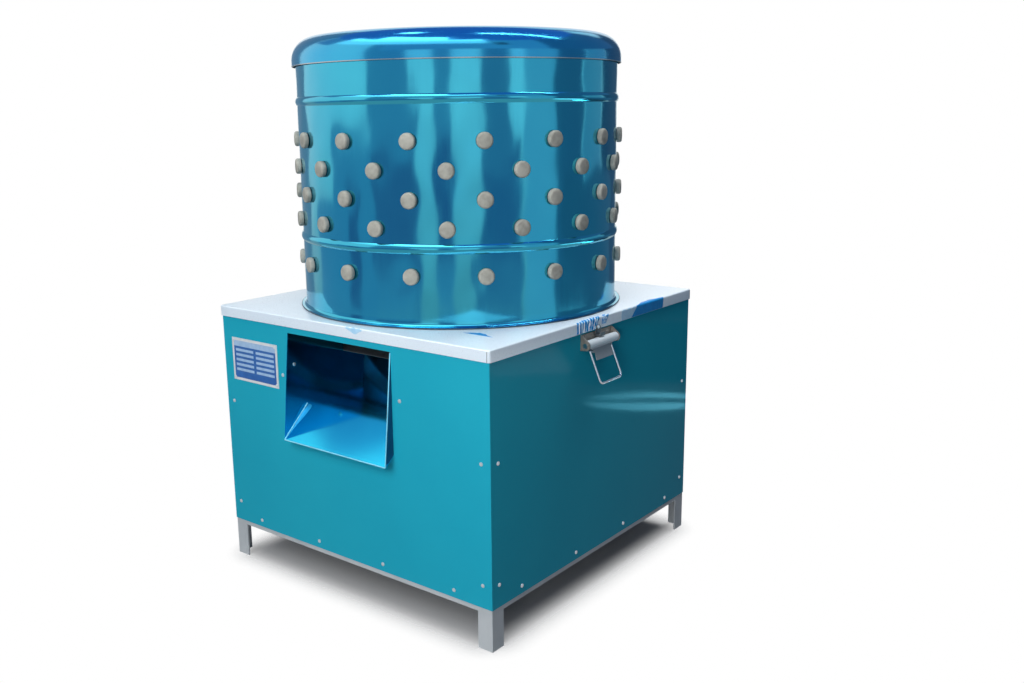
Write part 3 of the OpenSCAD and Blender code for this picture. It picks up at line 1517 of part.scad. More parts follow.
corner_posts();
bottom_rails();
top_rails();
mid_rails();
cross_beams();
front_panel();
back_panel();
left_panel();
right_panel();
panel_rivets();
feather_chute();
feather_tray();
nameplate();
bearing_housing();
bearing_outer_rings();
bearing_balls();
shaft_seals();
bearing_bolts();
motor_plate();
motor_bolts();
motor_flange_bell();
motor_housing();
motor_stator();
motor_bearings();
motor_rear_bell();
motor_fan_cover();
motor_terminal_box();
drive_belt();
latch_base();
latch_pin();
hinge_lower_leaves();
hinge_pins();
base_fitting_rivets();
switch_box();
switch_cover();
switch_screws();
contact_block();
cable_gland();
top_plate();
drum();
drum_rim();
drum_fingers();
latch_keeper();
hinge_upper_leaves();
lid_rivets();
rotor_disc();
rotor_fingers();
rotor_hub();
rotor_bolts();
main_shaft();
bearing_inner_rings();
driven_pulley();
sweeper_blades();
motor_shaft();
motor_pulley();
motor_fan();
latch_lever();
latch_bail();
start_button();
stop_button();
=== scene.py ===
"""Looks of a drum poultry plucker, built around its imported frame.

Every length in a sub-assembly's fields is in millimetres, and in the studio's in metres. Meshes are in
metres, in the frame's own axes: +Z is up, the feather chute faces -Y and the latch is on the +X side.
"""

import json
import logging
import math
from dataclasses import dataclass
from enum import Enum

import bpy
import numpy as np
from bpy.types import ID, Material, Node, NodeSocket, NodeTree, Object
from mathutils import Matrix, Vector


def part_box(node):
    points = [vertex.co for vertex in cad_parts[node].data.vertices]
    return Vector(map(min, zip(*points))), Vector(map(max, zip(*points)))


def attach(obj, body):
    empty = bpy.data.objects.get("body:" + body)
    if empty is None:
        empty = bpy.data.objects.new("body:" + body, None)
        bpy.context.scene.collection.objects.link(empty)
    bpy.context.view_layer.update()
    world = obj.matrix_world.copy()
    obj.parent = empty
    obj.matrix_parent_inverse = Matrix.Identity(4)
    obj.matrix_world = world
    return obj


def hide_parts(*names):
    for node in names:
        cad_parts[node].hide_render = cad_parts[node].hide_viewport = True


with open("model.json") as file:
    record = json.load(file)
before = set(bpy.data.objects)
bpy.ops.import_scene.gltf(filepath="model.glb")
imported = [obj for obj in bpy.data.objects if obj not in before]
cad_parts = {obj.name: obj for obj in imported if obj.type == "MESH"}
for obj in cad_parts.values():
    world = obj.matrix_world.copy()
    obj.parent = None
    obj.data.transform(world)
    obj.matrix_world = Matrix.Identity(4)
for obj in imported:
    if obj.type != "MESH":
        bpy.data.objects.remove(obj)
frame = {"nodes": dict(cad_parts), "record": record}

LOG = logging.getLogger("plucker")
MM = 0.001
IMAGE_SIZE = (1024, 683)
Array = np.ndarray
Surface = tuple[Array, list]


class Body(Enum):
    """The moving groups that a piece can ride on."""

    BASE = "base"
    TOP = "drum_top"
    ROTOR = "rotor"


def linear(hex_colour: str) -> tuple[float, float, float, float]:
    """Turn an sRGB hex colour into linear light.

    Args:
        hex_colour: Colour as #rrggbb.

    Returns:
        Red, green, blue and an alpha of one.
    """
    srgb = np.array([int(hex_colour[i : i + 2], 16) for i in (1, 3, 5)]) / 255
    light = np.where(srgb <= 0.04045, srgb / 12.92, ((srgb + 0.055) / 1.055) ** 2.4)
    return (*light.tolist(), 1.0)


def add(tree: NodeTree, kind: str, inputs: dict | None = None, **settings: object) -> Node:
    """Add a node, with its settings, its constants and its links.

    Args:
        tree: Node tree to add to.
        kind: Blender's name of the node's type.
        inputs: For each named or numbered input, a value, an output socket, or a node for its first output.
        **settings: Properties of the node itself.

    Returns:
        The new node.
    """
    node = tree.nodes.new(kind)
    for name, value in settings.items():
        setattr(node, name, value)
    for key, value in (inputs or {}).items():
        source = value.outputs[0] if isinstance(value, Node) else value
        if isinstance(source, NodeSocket):
            tree.links.new(source, node.inputs[key])
        else:
            node.inputs[key].default_value = source
    return node


def fresh_tree(owner: ID) -> NodeTree:
    """Switch on the nodes of a material or a world, and return its emptied tree."""
    owner.use_nodes = True
    owner.node_tree.nodes.clear()
    return owner.node_tree


def per_mm(size: float) -> float:
    """Texture scale whose features are about this many millimetres across."""
    return 1 / (size * MM)


def box_mm(node: str) -> tuple[Array, Array]:
    """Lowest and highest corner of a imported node, in millimetres."""
    low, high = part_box(node)
    return np.array(low) / MM, np.array(high) / MM


# Part of a noise's range that a finish stretches to the whole, for its colour and for its gloss
DRIFT_SPAN = (0.3, 0.7)
GRAIN_SPAN = (0.25, 0.75)
# Detail of the noise in each pattern
DRIFT_DETAIL = 3.0
GRAIN_DETAIL = 4.0
WAVE_DETAIL = 1.0
# Lowest roughness of any finish, and half the height over which a colour changes, in millimetres
SMOOTHEST = 0.02
BLEND_HALF = 2.0


@dataclass(frozen=True)
class Finish:
    """A real surface: its two colours, its gloss and its fine relief.

    The colour drifts between colour and second in patches of drift mm. The gloss varies by spread.
    Grain is the fine relief, stretched along each axis by stretch, and wave is the sheet's slow unevenness.
    Where a height for painted shade is given, the colour turns to second below that height instead of
    drifting.
    """

    name: str
    colour: str
    second: str
    drift: float = 120.0
    metallic: float = 0.0
    roughness: float = 0.5
    spread: float = 0.06
    specular: float = 0.5
    coat: float = 0.0
    coat_roughness: float = 0.1
    grain: float = 2.0
    grain_depth: float = 0.02
    stretch: tuple[float, float, float] = (1.0, 1.0, 1.0)
    wave: float = 160.0
    wave_depth: float = 0.0
    tone_attribute: str = ""
    painted_shade_below: float = 0.0

    def tint(self, tree: NodeTree, place: NodeSocket) -> NodeSocket:
        """Colour of the finish, drifting in patches or changing at a height as painted shade.

        Args:
            tree: The material's tree.
            place: Socket of the point's place on the object.

        Returns:
            Socket of the colour.
        """
        size = {"Scale": per_mm(self.drift), "Detail": DRIFT_DETAIL}
        drift = add(tree, "ShaderNodeTexNoise", {"Vector": place, **size})
        if self.tone_attribute:
            tone = add(tree, "ShaderNodeAttribute", attribute_name=self.tone_attribute).outputs["Fac"]
            drift = add(tree, "ShaderNodeMath", {0: drift, 1: tone}, operation="MULTIPLY")
        # Painted shade: below the given height the colour turns to the second
        if self.painted_shade_below:
            height = add(tree, "ShaderNodeSeparateXYZ", {"Vector": place}).outputs["Z"]
            above, below = self.painted_shade_below + BLEND_HALF, self.painted_shade_below - BLEND_HALF
            ends = {"From Min": above * MM, "From Max": below * MM}
            drift = add(tree, "ShaderNodeMapRange", {"Value": height, **ends})
        span = {"From Min": DRIFT_SPAN[0], "From Max": DRIFT_SPAN[1]}
        steep = add(tree, "ShaderNodeMapRange", {"Value": drift, **span})
        colours = {6: linear(self.colour), 7: linear(self.second)}
        return add(tree, "ShaderNodeMix", {0: steep, **colours}, data_type="RGBA").outputs[2]

    def skin(self, tree: NodeTree, place: NodeSocket) -> dict[str, Node]:
        """Gloss and relief of the finish: the stretched grain over the sheet's slow wave.

        Args:
            tree: The material's tree.
            place: Socket of the point's place on the object.

        Returns:
            The nodes that give the shader's roughness and normal.
        """
        stretched = add(tree, "ShaderNodeMapping", {"Vector": place, "Scale": self.stretch})
        size = {"Scale": per_mm(self.grain), "Detail": GRAIN_DETAIL}
        grain = add(tree, "ShaderNodeTexNoise", {"Vector": stretched, **size})
        span = {"From Min": GRAIN_SPAN[0], "From Max": GRAIN_SPAN[1]}
        smooth, rough = max(self.roughness - self.spread, SMOOTHEST), self.roughness + self.spread
        gloss = add(tree, "ShaderNodeMapRange", {"Value": grain, **span, "To Min": smooth, "To Max": rough})
        depth = {"Distance": self.grain_depth * MM, "Strength": 1.0}
        relief = add(tree, "ShaderNodeBump", {"Height": grain, **depth})
        if self.wave_depth:
            size = {"Scale": per_mm(self.wave), "Detail": WAVE_DETAIL}
            slow = add(tree, "ShaderNodeTexNoise", {"Vector": place, **size})
            depth = {"Distance": self.wave_depth * MM, "Strength": 1.0}
            relief = add(tree, "ShaderNodeBump", {"Height": slow, "Normal": relief, **depth})
        return {"Roughness": gloss, "Normal": relief}

    def material(self) -> Material:
        """Build the finish as a node material.

        Returns:
            The new material, or the one already built.
        """
        found = bpy.data.materials.get(self.name)
        if found:
            return found
        made = bpy.data.materials.new(self.name)
        tree = fresh_tree(made)
        place = add(tree, "ShaderNodeTexCoord").outputs["Object"]
        looks = {
            "Base Color": self.tint(tree, place),
            "Metallic": self.metallic,
            "Specular IOR Level": self.specular,
            "Coat Weight": self.coat,
            "Coat Roughness": self.coat_roughness,
        }
        shader = add(tree, "ShaderNodeBsdfPrincipled", {**looks, **self.skin(tree, place)})
        add(tree, "ShaderNodeOutputMaterial", {"Surface": shader})
        return made


# Stretch of a brushed grain that runs along Z, or along X
GRAIN_UP = (1.0, 1.0, 0.04)
GRAIN_ACROSS = (0.04, 1.0, 1.0)

# Blue film over bright stainless: the sheet's mirror shows through, tinted, with soft wrinkles
DRUM_FILM = Finish(
    "blue_film_on_stainless", "#46bdd8", "#40b3d2", drift=150, metallic=1.0, roughness=0.12, spread=0.03,
    coat=0.12, coat_roughness=0.06, grain=3, grain_depth=0.004, stretch=GRAIN_UP, wave=90, wave_depth=0.16,
)
# The same film drawn tight over the spun rim, so deeper in colour and smoother
RIM_FILM = Finish(
    "blue_film_on_spun_rim", "#3fb2dc", "#39a6d8", drift=90, metallic=1.0, roughness=0.16, spread=0.03,
    coat=0.15, coat_roughness=0.05, grain=3, grain_depth=0.003, wave=60, wave_depth=0.15,
)
# Rolled edge of the drum's foot, bare, coloured a dark grey mirror as painted shade of the wall
FOOT_EDGE_PAINTED_SHADE = Finish(
    "rolled_edge_painted_shade", "#4b6274", "#3c5163", drift=40, metallic=0.9, roughness=0.28,
    grain=1.5, grain_depth=0.006, wave=60, wave_depth=0.2,
)
# Rolled stainless sheet, bare: fine lines and a soft grey mirror
BARE_STAINLESS = Finish(
    "rolled_stainless", "#c3c9cc", "#b4bbbf", drift=60, metallic=1.0, roughness=0.3,
    grain=1.5, grain_depth=0.006, stretch=GRAIN_ACROSS, wave=120, wave_depth=0.15,
)
# Stainless under its milky protective film: near white, with a soft sheen
FILMED_PLATE = Finish(
    "stainless_under_white_film", "#e6f1f8", "#dfebf4", drift=140, metallic=0.15, roughness=0.3, spread=0.05,
    grain=2, grain_depth=0.004, wave=120, wave_depth=0.12,
)
# Baked enamel on thin sheet: an even colour whose gloss wavers with the sheet
PANEL_ENAMEL = Finish(
    "baked_enamel", "#23a6bd", "#1f9fb8", drift=320, roughness=0.075, spread=0.015, specular=0.025,
    grain=2.5, grain_depth=0.004, wave=260, wave_depth=0.5,
)
# Blue film on the folded chute: a deep blue mirror, so its inside stays as dark as what it faces
CHUTE_FILM = Finish(
    "blue_film_on_folded_sheet", "#34d2fa", "#2fc8f4", drift=90, metallic=1.0, roughness=0.1, spread=0.01,
    grain=3, grain_depth=0.0005, wave=110, wave_depth=0.5,
)
# Sheared and folded edges of the filmed sheet, coloured pale as a painted highlight: thin pale lines
FILM_EDGE_PAINTED_HIGHLIGHT = Finish(
    "film_edge_painted_highlight", "#8fe3fa", "#7fd8f4", drift=20, metallic=0.1, roughness=0.35, spread=0.05,
    grain=1.0, grain_depth=0.004,
)
# The same film where the sheet is bent: stretched and duller, so that it shows a soft light band
FILM_FOLD = Finish(
    "stretched_film_fold", "#3fb4e2", "#38a8d8", drift=40, metallic=0.75, roughness=0.4, spread=0.03,
    grain=2.0, grain_depth=0.003,
)
# Outer side of the chute's cheek: a dark blue sheet laid over it as painted shade beside the panel
CHEEK_PAINTED_SHADE = Finish(
    "cheek_painted_shade_sheet", "#12557f", "#0e486e", drift=30, metallic=0.2, roughness=0.4, spread=0.05,
    grain=2.0, grain_depth=0.004,
)
# Unpolished sheet inside the machine, dulled by water and feathers
DULL_STAINLESS = Finish(
    "dulled_stainless", "#787d80", "#696e71", drift=30, metallic=0.5, roughness=0.62,
    grain=1.6, grain_depth=0.02,
)
# Sprayed paint on angle iron: satin grey with the mill's faint pits
FRAME_PAINT = Finish(
    "sprayed_grey_paint", "#bcc1c3", "#aeb4b7", drift=45, roughness=0.48, spread=0.07, specular=0.4,
    grain=2.2, grain_depth=0.04,
)
# Moulded rubber: matt warm grey, paler where handling has bloomed it
FINGER_RUBBER = Finish(
    "moulded_grey_rubber", "#adaca2", "#939289", drift=11, roughness=0.66, spread=0.08, specular=0.35,
    grain=1.2, grain_depth=0.03, tone_attribute="tone",
)
# Zinc plate on pressed steel: pale blue-grey with clouds of dull spangle
ZINC_STEEL = Finish(
    "zinc_plated_steel", "#c2c9cd", "#a9b0b4", drift=9, metallic=1.0, roughness=0.36, spread=0.1,
    grain=1.0, grain_depth=0.01,
)
# Zinc dulled by handling, on the lever: an even pale grey band, with a tongue coloured darker below as
# painted shade
LEVER_ZINC_PAINTED_SHADE = Finish(
    "lever_zinc_painted_shade", "#c6d0d5", "#858f96", metallic=0.15, roughness=0.5, spread=0.08,
    grain=1.0, grain_depth=0.01, painted_shade_below=461.0,
)
# Passivated zinc, a brownish grey, darkened further as painted shade of the skirt
BROWN_ZINC_AND_SHADE = Finish(
    "passivated_zinc_painted_shade", "#8d8880", "#7d7972", drift=8, metallic=0.4, roughness=0.52, spread=0.08,
    grain=1.0, grain_depth=0.015,
)
# Spring steel of the keeper, dull, coloured dark as painted shade
KEEPER_STEEL_PAINTED_SHADE = Finish(
    "keeper_steel_painted_shade", "#666c70", "#565c60", drift=7, metallic=0.5, roughness=0.48, spread=0.08,
    grain=0.9, grain_depth=0.015,
)
# Drawn wire, polished by the die: bright lines along its length
DRAWN_WIRE = Finish(
    "drawn_steel_wire", "#e3e7ea", "#d2d8dc", drift=8, metallic=1.0, roughness=0.22,
    grain=0.8, grain_depth=0.006,
)
# Aluminium blind rivets: bright, slightly dulled heads
RIVET_ALUMINIUM = Finish(
    "aluminium_rivet", "#eceeee", "#d9dcdd", drift=4, metallic=0.8, roughness=0.34, spread=0.08,
    grain=0.8, grain_depth=0.01,
)
# Grey cast iron under machine paint: a soft sandy relief
CAST_IRON = Finish(
    "painted_cast_iron", "#6d7478", "#5b6266", drift=18, metallic=0.4, roughness=0.56, spread=0.08,
    grain=1.6, grain_depth=0.12,
)
# Ground bearing steel: a clean dark-silver mirror
BEARING_STEEL = Finish(
    "ground_bearing_steel", "#c9cdd0", "#bcc1c4", drift=10, metallic=1.0, roughness=0.2, spread=0.04,
    grain=0.8, grain_depth=0.004,
)
# Machine paint on the motor: grey-blue, orange-peel from the spray gun
MOTOR_PAINT = Finish(
    "motor_machine_paint", "#4f6c7b", "#46616f", drift=40, roughness=0.42, spread=0.07,
    grain=2.0, grain_depth=0.06,
)
# Varnished copper windings in their laminated core
COPPER_WINDING = Finish(
    "varnished_copper_winding", "#8d5a2c", "#6f4522", drift=6, metallic=0.7, roughness=0.38, spread=0.08,
    grain=1.4, grain_depth=0.15, stretch=GRAIN_UP,
)
# Vulcanised belt and seals: black, dusty rubber
BLACK_RUBBER = Finish(
    "vulcanised_black_rubber", "#1f2022", "#2c2d2f", drift=7, roughness=0.72, spread=0.08, specular=0.35,
    grain=0.9, grain_depth=0.04,
)
# ABS mouldings: spark-eroded skin with a faint sheen
BLACK_ABS = Finish(
    "moulded_black_abs", "#2b2e31", "#33373a", drift=30, roughness=0.52, spread=0.05,
    grain=0.9, grain_depth=0.03,
)
PALE_ABS = Finish("moulded_pale_abs", "#d6d1c4", "#c9c4b6", drift=20, grain=1.0)
# Push buttons: the same moulding from a polished tool, so glossy
GREEN_ABS = Finish(
    "gloss_green_abs", "#2a9a45", "#248a3d", drift=12, roughness=0.22, coat=0.4, grain_depth=0.004,
)
RED_ABS = Finish(
    "gloss_red_abs", "#c4261f", "#b01f1a", drift=12, roughness=0.22, coat=0.4, grain_depth=0.004,
)
# Anodised aluminium of the data plate, and its printing
PLATE_BORDER = Finish(
    "anodised_data_plate", "#e4e6e6", "#d6d9da", drift=14, metallic=0.2, roughness=0.42,
    grain=0.8, grain_depth=0.006, stretch=GRAIN_ACROSS,
)
PLATE_BLUE = Finish(
    "printed_blue_ink", "#2d6ab4", "#275fa6", drift=20, metallic=0.2, roughness=0.4, grain_depth=0.004,
)
PLATE_PALE = Finish(
    "printed_pale_ink", "#a9c6e2", "#97b7d8", drift=10, metallic=0.1, roughness=0.45, grain_depth=0.004,
)
# Torn shreds of protective film left on the plate: thin, glossy and wrinkled, deep blue or stretched pale
BLUE_SHRED = Finish(
    "torn_blue_film", "#2190d8", "#1d82c8", drift=14, roughness=0.3, specular=0.1,
    grain=4, grain_depth=0.03, wave=12, wave_depth=0.3,
)
PALE_SHRED = Finish(
    "stretched_blue_film", "#a6d2ee", "#bbdff4", drift=10, roughness=0.3, specular=0.1,
    grain=4, grain_depth=0.03, wave=12, wave_depth=0.3,
)
# Open seam where two folded edges meet: a dark line of shade and dirt
SEAM_SHADE = Finish(
    "shaded_seam", "#4b545a", "#3d454b", drift=5, roughness=0.7, spread=0.05, grain_depth=0.01,
)

SLOT_FINISHES: dict[str, Finish] = {
    "frame_paint": FRAME_PAINT,
    "panel_enamel": PANEL_ENAMEL,
    "rivet_aluminium": RIVET_ALUMINIUM,
    "chute_film": CHUTE_FILM,
    "tray_stainless": BARE_STAINLESS,
    "data_plate": PLATE_BORDER,
    "cast_iron": CAST_IRON,
    "bearing_steel": BEARING_STEEL,
    "seal_rubber": BLACK_RUBBER,
    "zinc_steel": ZINC_STEEL,
    "wire_steel": DRAWN_WIRE,
    "motor_paint": MOTOR_PAINT,
    "copper_winding": COPPER_WINDING,
    "rotor_steel": BEARING_STEEL,
    "belt_rubber": BLACK_RUBBER,
    "black_plastic": BLACK_ABS,
    "contact_plastic": PALE_ABS,
    "plate_stainless": FILMED_PLATE,
    "drum_film": DRUM_FILM,
    "rim_film": RIM_FILM,
    "finger_rubber": FINGER_RUBBER,
    "green_plastic": GREEN_ABS,
    "red_plastic": RED_ABS,
}

# Nodes whose finish differs from the others in their slot
NODE_FINISHES: dict[str, Finish] = {
    "latch_lever": LEVER_ZINC_PAINTED_SHADE,
    "latch_base": BROWN_ZINC_AND_SHADE,
    "latch_keeper": KEEPER_STEEL_PAINTED_SHADE,
    "base_fitting_rivets": BROWN_ZINC_AND_SHADE,
    "rotor_disc": DULL_STAINLESS,
    "feather_tray": DULL_STAINLESS,
}


def dress_frame() -> None:
    """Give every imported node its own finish, or the finish of its material slot."""
    for row in frame["record"]["subparts"]:
        node = frame["nodes"][row["node"]]
        node.data.materials.clear()
        finish = NODE_FINISHES.get(row["node"], SLOT_FINISHES[row["material_slot"]])
        node.data.materials.append(finish.material())


def grid_faces(rows: int, columns: int, round_columns: bool, round_rows: bool = False) -> Array:
    """Quads of a grid of points numbered row by row.

    Args:
        rows: Number of rows.
        columns: Number of points in a row.
        round_columns: Whether each row's last point joins its first.
        round_rows: Whether the last row joins the first.

    Returns:
        Four indices for each quad.
    """
    i = np.arange(rows if round_rows else rows - 1)[:, None]
    j = np.arange(columns if round_columns else columns - 1)[None, :]
    up, along = (i + 1) % rows, (j + 1) % columns
    corners = [i * columns + j, i * columns + along, up * columns + along, up * columns + j]
    return np.stack([np.broadcast_to(c, (i.size, j.size)) for c in corners], -1).reshape(-1, 4)


def arc(centre: tuple[float, float], radius: float, start: float, end: float, steps: int) -> Array:
    """Points of a circular arc in a profile's plane, angles in degrees."""
    angle = np.radians(np.linspace(start, end, steps + 1))
    return np.array(centre) + radius * np.stack([np.cos(angle), np.sin(angle)], -1)


def lathe(profile: Array, columns: int, closed: bool) -> Surface:
    """Turn a profile about the Z axis: point (r, z) at angle a becomes (r cos a, r sin a, z).

    Args:
        profile: Points (r, z), going up where the surface faces away from the axis.
        columns: Number of steps round the axis.
        closed: Whether the profile's last point joins its first.

    Returns:
        Points and faces.
    """
    angle = np.arange(columns) * 2 * math.pi / columns
    r, z = profile[:, :1], profile[:, 1:]
    points = np.stack([r * np.cos(angle), r * np.sin(angle), z + 0 * angle], -1).reshape(-1, 3)
    return points, grid_faces(len(profile), columns, True, closed).tolist()


def domed_lathe(profile: Array, columns: int) -> Surface:
    """Turn a profile that starts and ends on the axis, closing each end with a fan about one point.

    Args:
        profile: Points (r, z), the first and the last on the axis.
        columns: Number of steps round the axis.

    Returns:
        Points and faces.
    """
    ring, faces = lathe(profile[1:-1], columns, False)
    low, high = len(ring), len(ring) + 1
    j = np.arange(columns)
    after = (j + 1) % columns
    top = len(ring) - columns
    fans = np.concatenate(
        [
            np.stack([after, j, np.full(columns, low)], -1),
            np.stack([top + j, top + after, np.full(columns, high)], -1),
        ]
    )
    poles = np.array([[0, 0, profile[0, 1]], [0, 0, profile[-1, 1]]])
    return np.concatenate([ring, poles]), faces + fans.tolist()


def repeat(surface: Surface, turns: Array, places: Array) -> Surface:
    """Copies of a surface, each turned by its matrix and then moved to its place.

    Args:
        surface: Points and faces of one.
        turns: Matrix of each copy.
        places: Where each copy stands.

    Returns:
        Points and faces of them all.
    """
    points, faces = surface
    copies = np.einsum("nij,pj->npi", turns, points) + places[:, None, :]
    shifts = np.arange(len(places)) * len(points)
    every = [[index + int(shift) for index in face] for shift in shifts for face in faces]
    return copies.reshape(-1, 3), every


def slab(front: Array, back: Array) -> Surface:
    """Close two grids of points into a thin slab, by their faces and the strip round their edges.

    Args:
        front: Grid of points, rows by columns by three, seen from the front.
        back: The same grid, further back.

    Returns:
        Points and faces: first the front's, then the back's, then the edge's.
    """
    rows, columns = front.shape[:2]
    count = rows * columns
    faces = grid_faces(rows, columns, False)
    number = np.arange(count).reshape(rows, columns)
    loop = np.concatenate([number[0, :-1], number[:-1, -1], number[-1, :0:-1], number[:0:-1, 0]])
    after = np.roll(loop, -1)
    edge = np.stack([after, loop, loop + count, after + count], -1)
    points = np.concatenate([front.reshape(-1, 3), back.reshape(-1, 3)])
    return points, np.concatenate([faces, faces[:, ::-1] + count, edge]).tolist()


# Half profile of a unit bar: shares of its radius and of its length, from its end to its full width
BAR_END = ((0.0, 0.0), (0.7, 0.001), (1.0, 0.004))
BAR_COLUMNS = 10
# A bar that rises by more than this share of its length counts as upright
UPRIGHT = 0.9


def rods(starts: Array, ends: Array, radius: float) -> Surface:
    """Round bars with domed ends: a unit bar along Z, stretched and turned to run from a start to its end.

    Args:
        starts: Where each bar starts.
        ends: Where each bar ends.
        radius: Radius of them all.

    Returns:
        Points and faces.
    """
    way = ends - starts
    length = np.linalg.norm(way, axis=-1, keepdims=True)
    along = way / length
    helper = np.where(np.abs(along[:, 2:]) > UPRIGHT, [[1.0, 0.0, 0.0]], [[0.0, 0.0, 1.0]])
    side = np.cross(helper, along)
    side /= np.linalg.norm(side, axis=-1, keepdims=True)
    turns = np.stack([side, np.cross(along, side), way], -1)
    low = np.array(BAR_END) * [radius, 1]
    profile = np.concatenate([low, (low * [1, -1] + [0, 1])[::-1]])
    return repeat(domed_lathe(profile, BAR_COLUMNS), turns, starts)


def mesh_object(name: str, points: Array, faces: list, materials: list[Material]) -> Object:
    """Put a surface into a new object at the origin.

    Args:
        name: Name of the object and its mesh.
        points: Points in metres.
        faces: Indices of each face's points.
        materials: Materials of the mesh's slots.

    Returns:
        The object, linked to the scene.
    """
    mesh = bpy.data.meshes.new(name)
    mesh.from_pydata(points.tolist(), [], faces)
    for material in materials:
        mesh.materials.append(material)
    made = bpy.data.objects.new(name, mesh)
    bpy.context.scene.collection.objects.link(made)
    return made


@dataclass(frozen=True)
class Piece:
    """A new mesh's name, the body it rides on, its slot and the nodes that it stands for."""

    name: str
    body: Body
    slot: str
    stands_for: tuple[str, ...] = ()
    sharp_angle: float = 40.0

    def make(self, surface: Surface, finishes: list[Finish], choice: Array | None = None) -> Object:
        """Make the mesh, dress it and tie it to its body.

        Args:
            surface: Points in millimetres, and faces.
            finishes: Finishes of the piece's material slots.
            choice: For each face, the number of its finish.

        Returns:
            The finished object, at the origin.
        """
        points, faces = surface
        made = mesh_object(self.name, points * MM, faces, [finish.material() for finish in finishes])
        mesh = made.data
        if choice is not None:
            mesh.polygons.foreach_set("material_index", choice.astype(np.int32))
        mesh.polygons.foreach_set("use_smooth", np.ones(len(faces), bool))
        mesh.set_sharp_from_angle(angle=math.radians(self.sharp_angle))
        mesh.update()
        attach(made, self.body.value)
        if self.stands_for:
            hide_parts(*self.stands_for)
        LOG.info("%s: %d faces", self.name, len(faces))
        return made


@dataclass
class FingerSet:
    """Rubber fingers: a headed plug that grips a sheet, with a ribbed body behind it.

    A bevel is given by its step inwards and its step along the finger. The point of the crown is given by its
    shares of the head's flat radius and of the crown's height.
    """

    head_d: float = 28.0
    head_t: float = 9.5
    head_round: float = 3.8
    head_turn: float = 84.0
    head_steps: int = 6
    low_round: float = 1.5
    low_steps: int = 2
    crown: float = 0.5
    crown_point: tuple[float, float] = (0.6, 0.7)
    neck_d: float = 20.0
    shoulder_d: float = 24.6
    shoulder_bevel: tuple[float, float] = (0.6, 1.0)
    collar: float = 5.0
    root_extra: float = 0.6
    body_l: float = 82.0
    tip_d: float = 13.0
    tip_plain: float = 4.0
    tip_flat: float = 2.5
    tip_bevel: tuple[float, float] = (0.6, 2.0)
    rib_h: float = 1.3
    ribs: int = 7
    rib_steps: int = 4
    columns: int = 24
    seat: float = 0.05
    tones: tuple[float, float] = (0.75, 1.25)

    def shape(self, grip: float) -> Surface:
        """One finger along Z: head above z = 0, body below the sheet, ribbed by a cosine of its length.

        Args:
            grip: Thickness of the sheet.

        Returns:
            Points and faces.
        """
        head_r, neck_r, tip_r = self.head_d / 2, self.neck_d / 2, self.tip_d / 2
        shoulder_r, root_r = self.shoulder_d / 2, neck_r + self.root_extra
        end = -grip - self.body_l
        t = np.linspace(0, 1, self.rib_steps * self.ribs + 1)
        wave = 0.5 + 0.5 * np.cos(2 * math.pi * self.ribs * t)
        rib_r = root_r + (tip_r - root_r) * t - self.rib_h * wave
        rib_z = -grip - self.collar - t * (self.body_l - self.collar - self.tip_plain)
        edge, round_z = head_r - self.head_round, self.head_t - self.head_round
        profile = np.concatenate(
            [
                [[0, end], [tip_r - self.tip_flat, end]],
                [[tip_r - self.tip_bevel[0], end + self.tip_bevel[1]]],
                np.stack([rib_r, rib_z], -1)[::-1],
                [[shoulder_r - self.shoulder_bevel[0], -grip - self.collar + self.shoulder_bevel[1]]],
                [[shoulder_r, -grip], [neck_r, -grip], [neck_r, 0]],
                arc((head_r - self.low_round, self.low_round), self.low_round, -90, 0, self.low_steps),
                arc((edge, round_z), self.head_round, 0, self.head_turn, self.head_steps),
                [[edge * self.crown_point[0], self.head_t + self.crown * self.crown_point[1]]],
                [[0, self.head_t + self.crown]],
            ]
        )
        return domed_lathe(profile, self.columns)

    def make(self, piece: Piece, grip: float, turns: Array, places: Array, seed: int) -> None:
        """Build a set of fingers and give each its own tone.

        Args:
            piece: What the set is.
            grip: Thickness that the neck spans.
            turns: Matrix of each finger, its Z pointing to the head's side.
            places: Where each head's underside is.
            seed: Start of the random tones.
        """
        one = self.shape(grip)
        made = piece.make(repeat(one, turns, places), [FINGER_RUBBER])
        tones = np.random.default_rng(seed).uniform(*self.tones, len(places))
        values = np.repeat(tones, len(one[0])).astype(np.float32)
        made.data.attributes.new("tone", "FLOAT", "POINT").data.foreach_set("value", values)


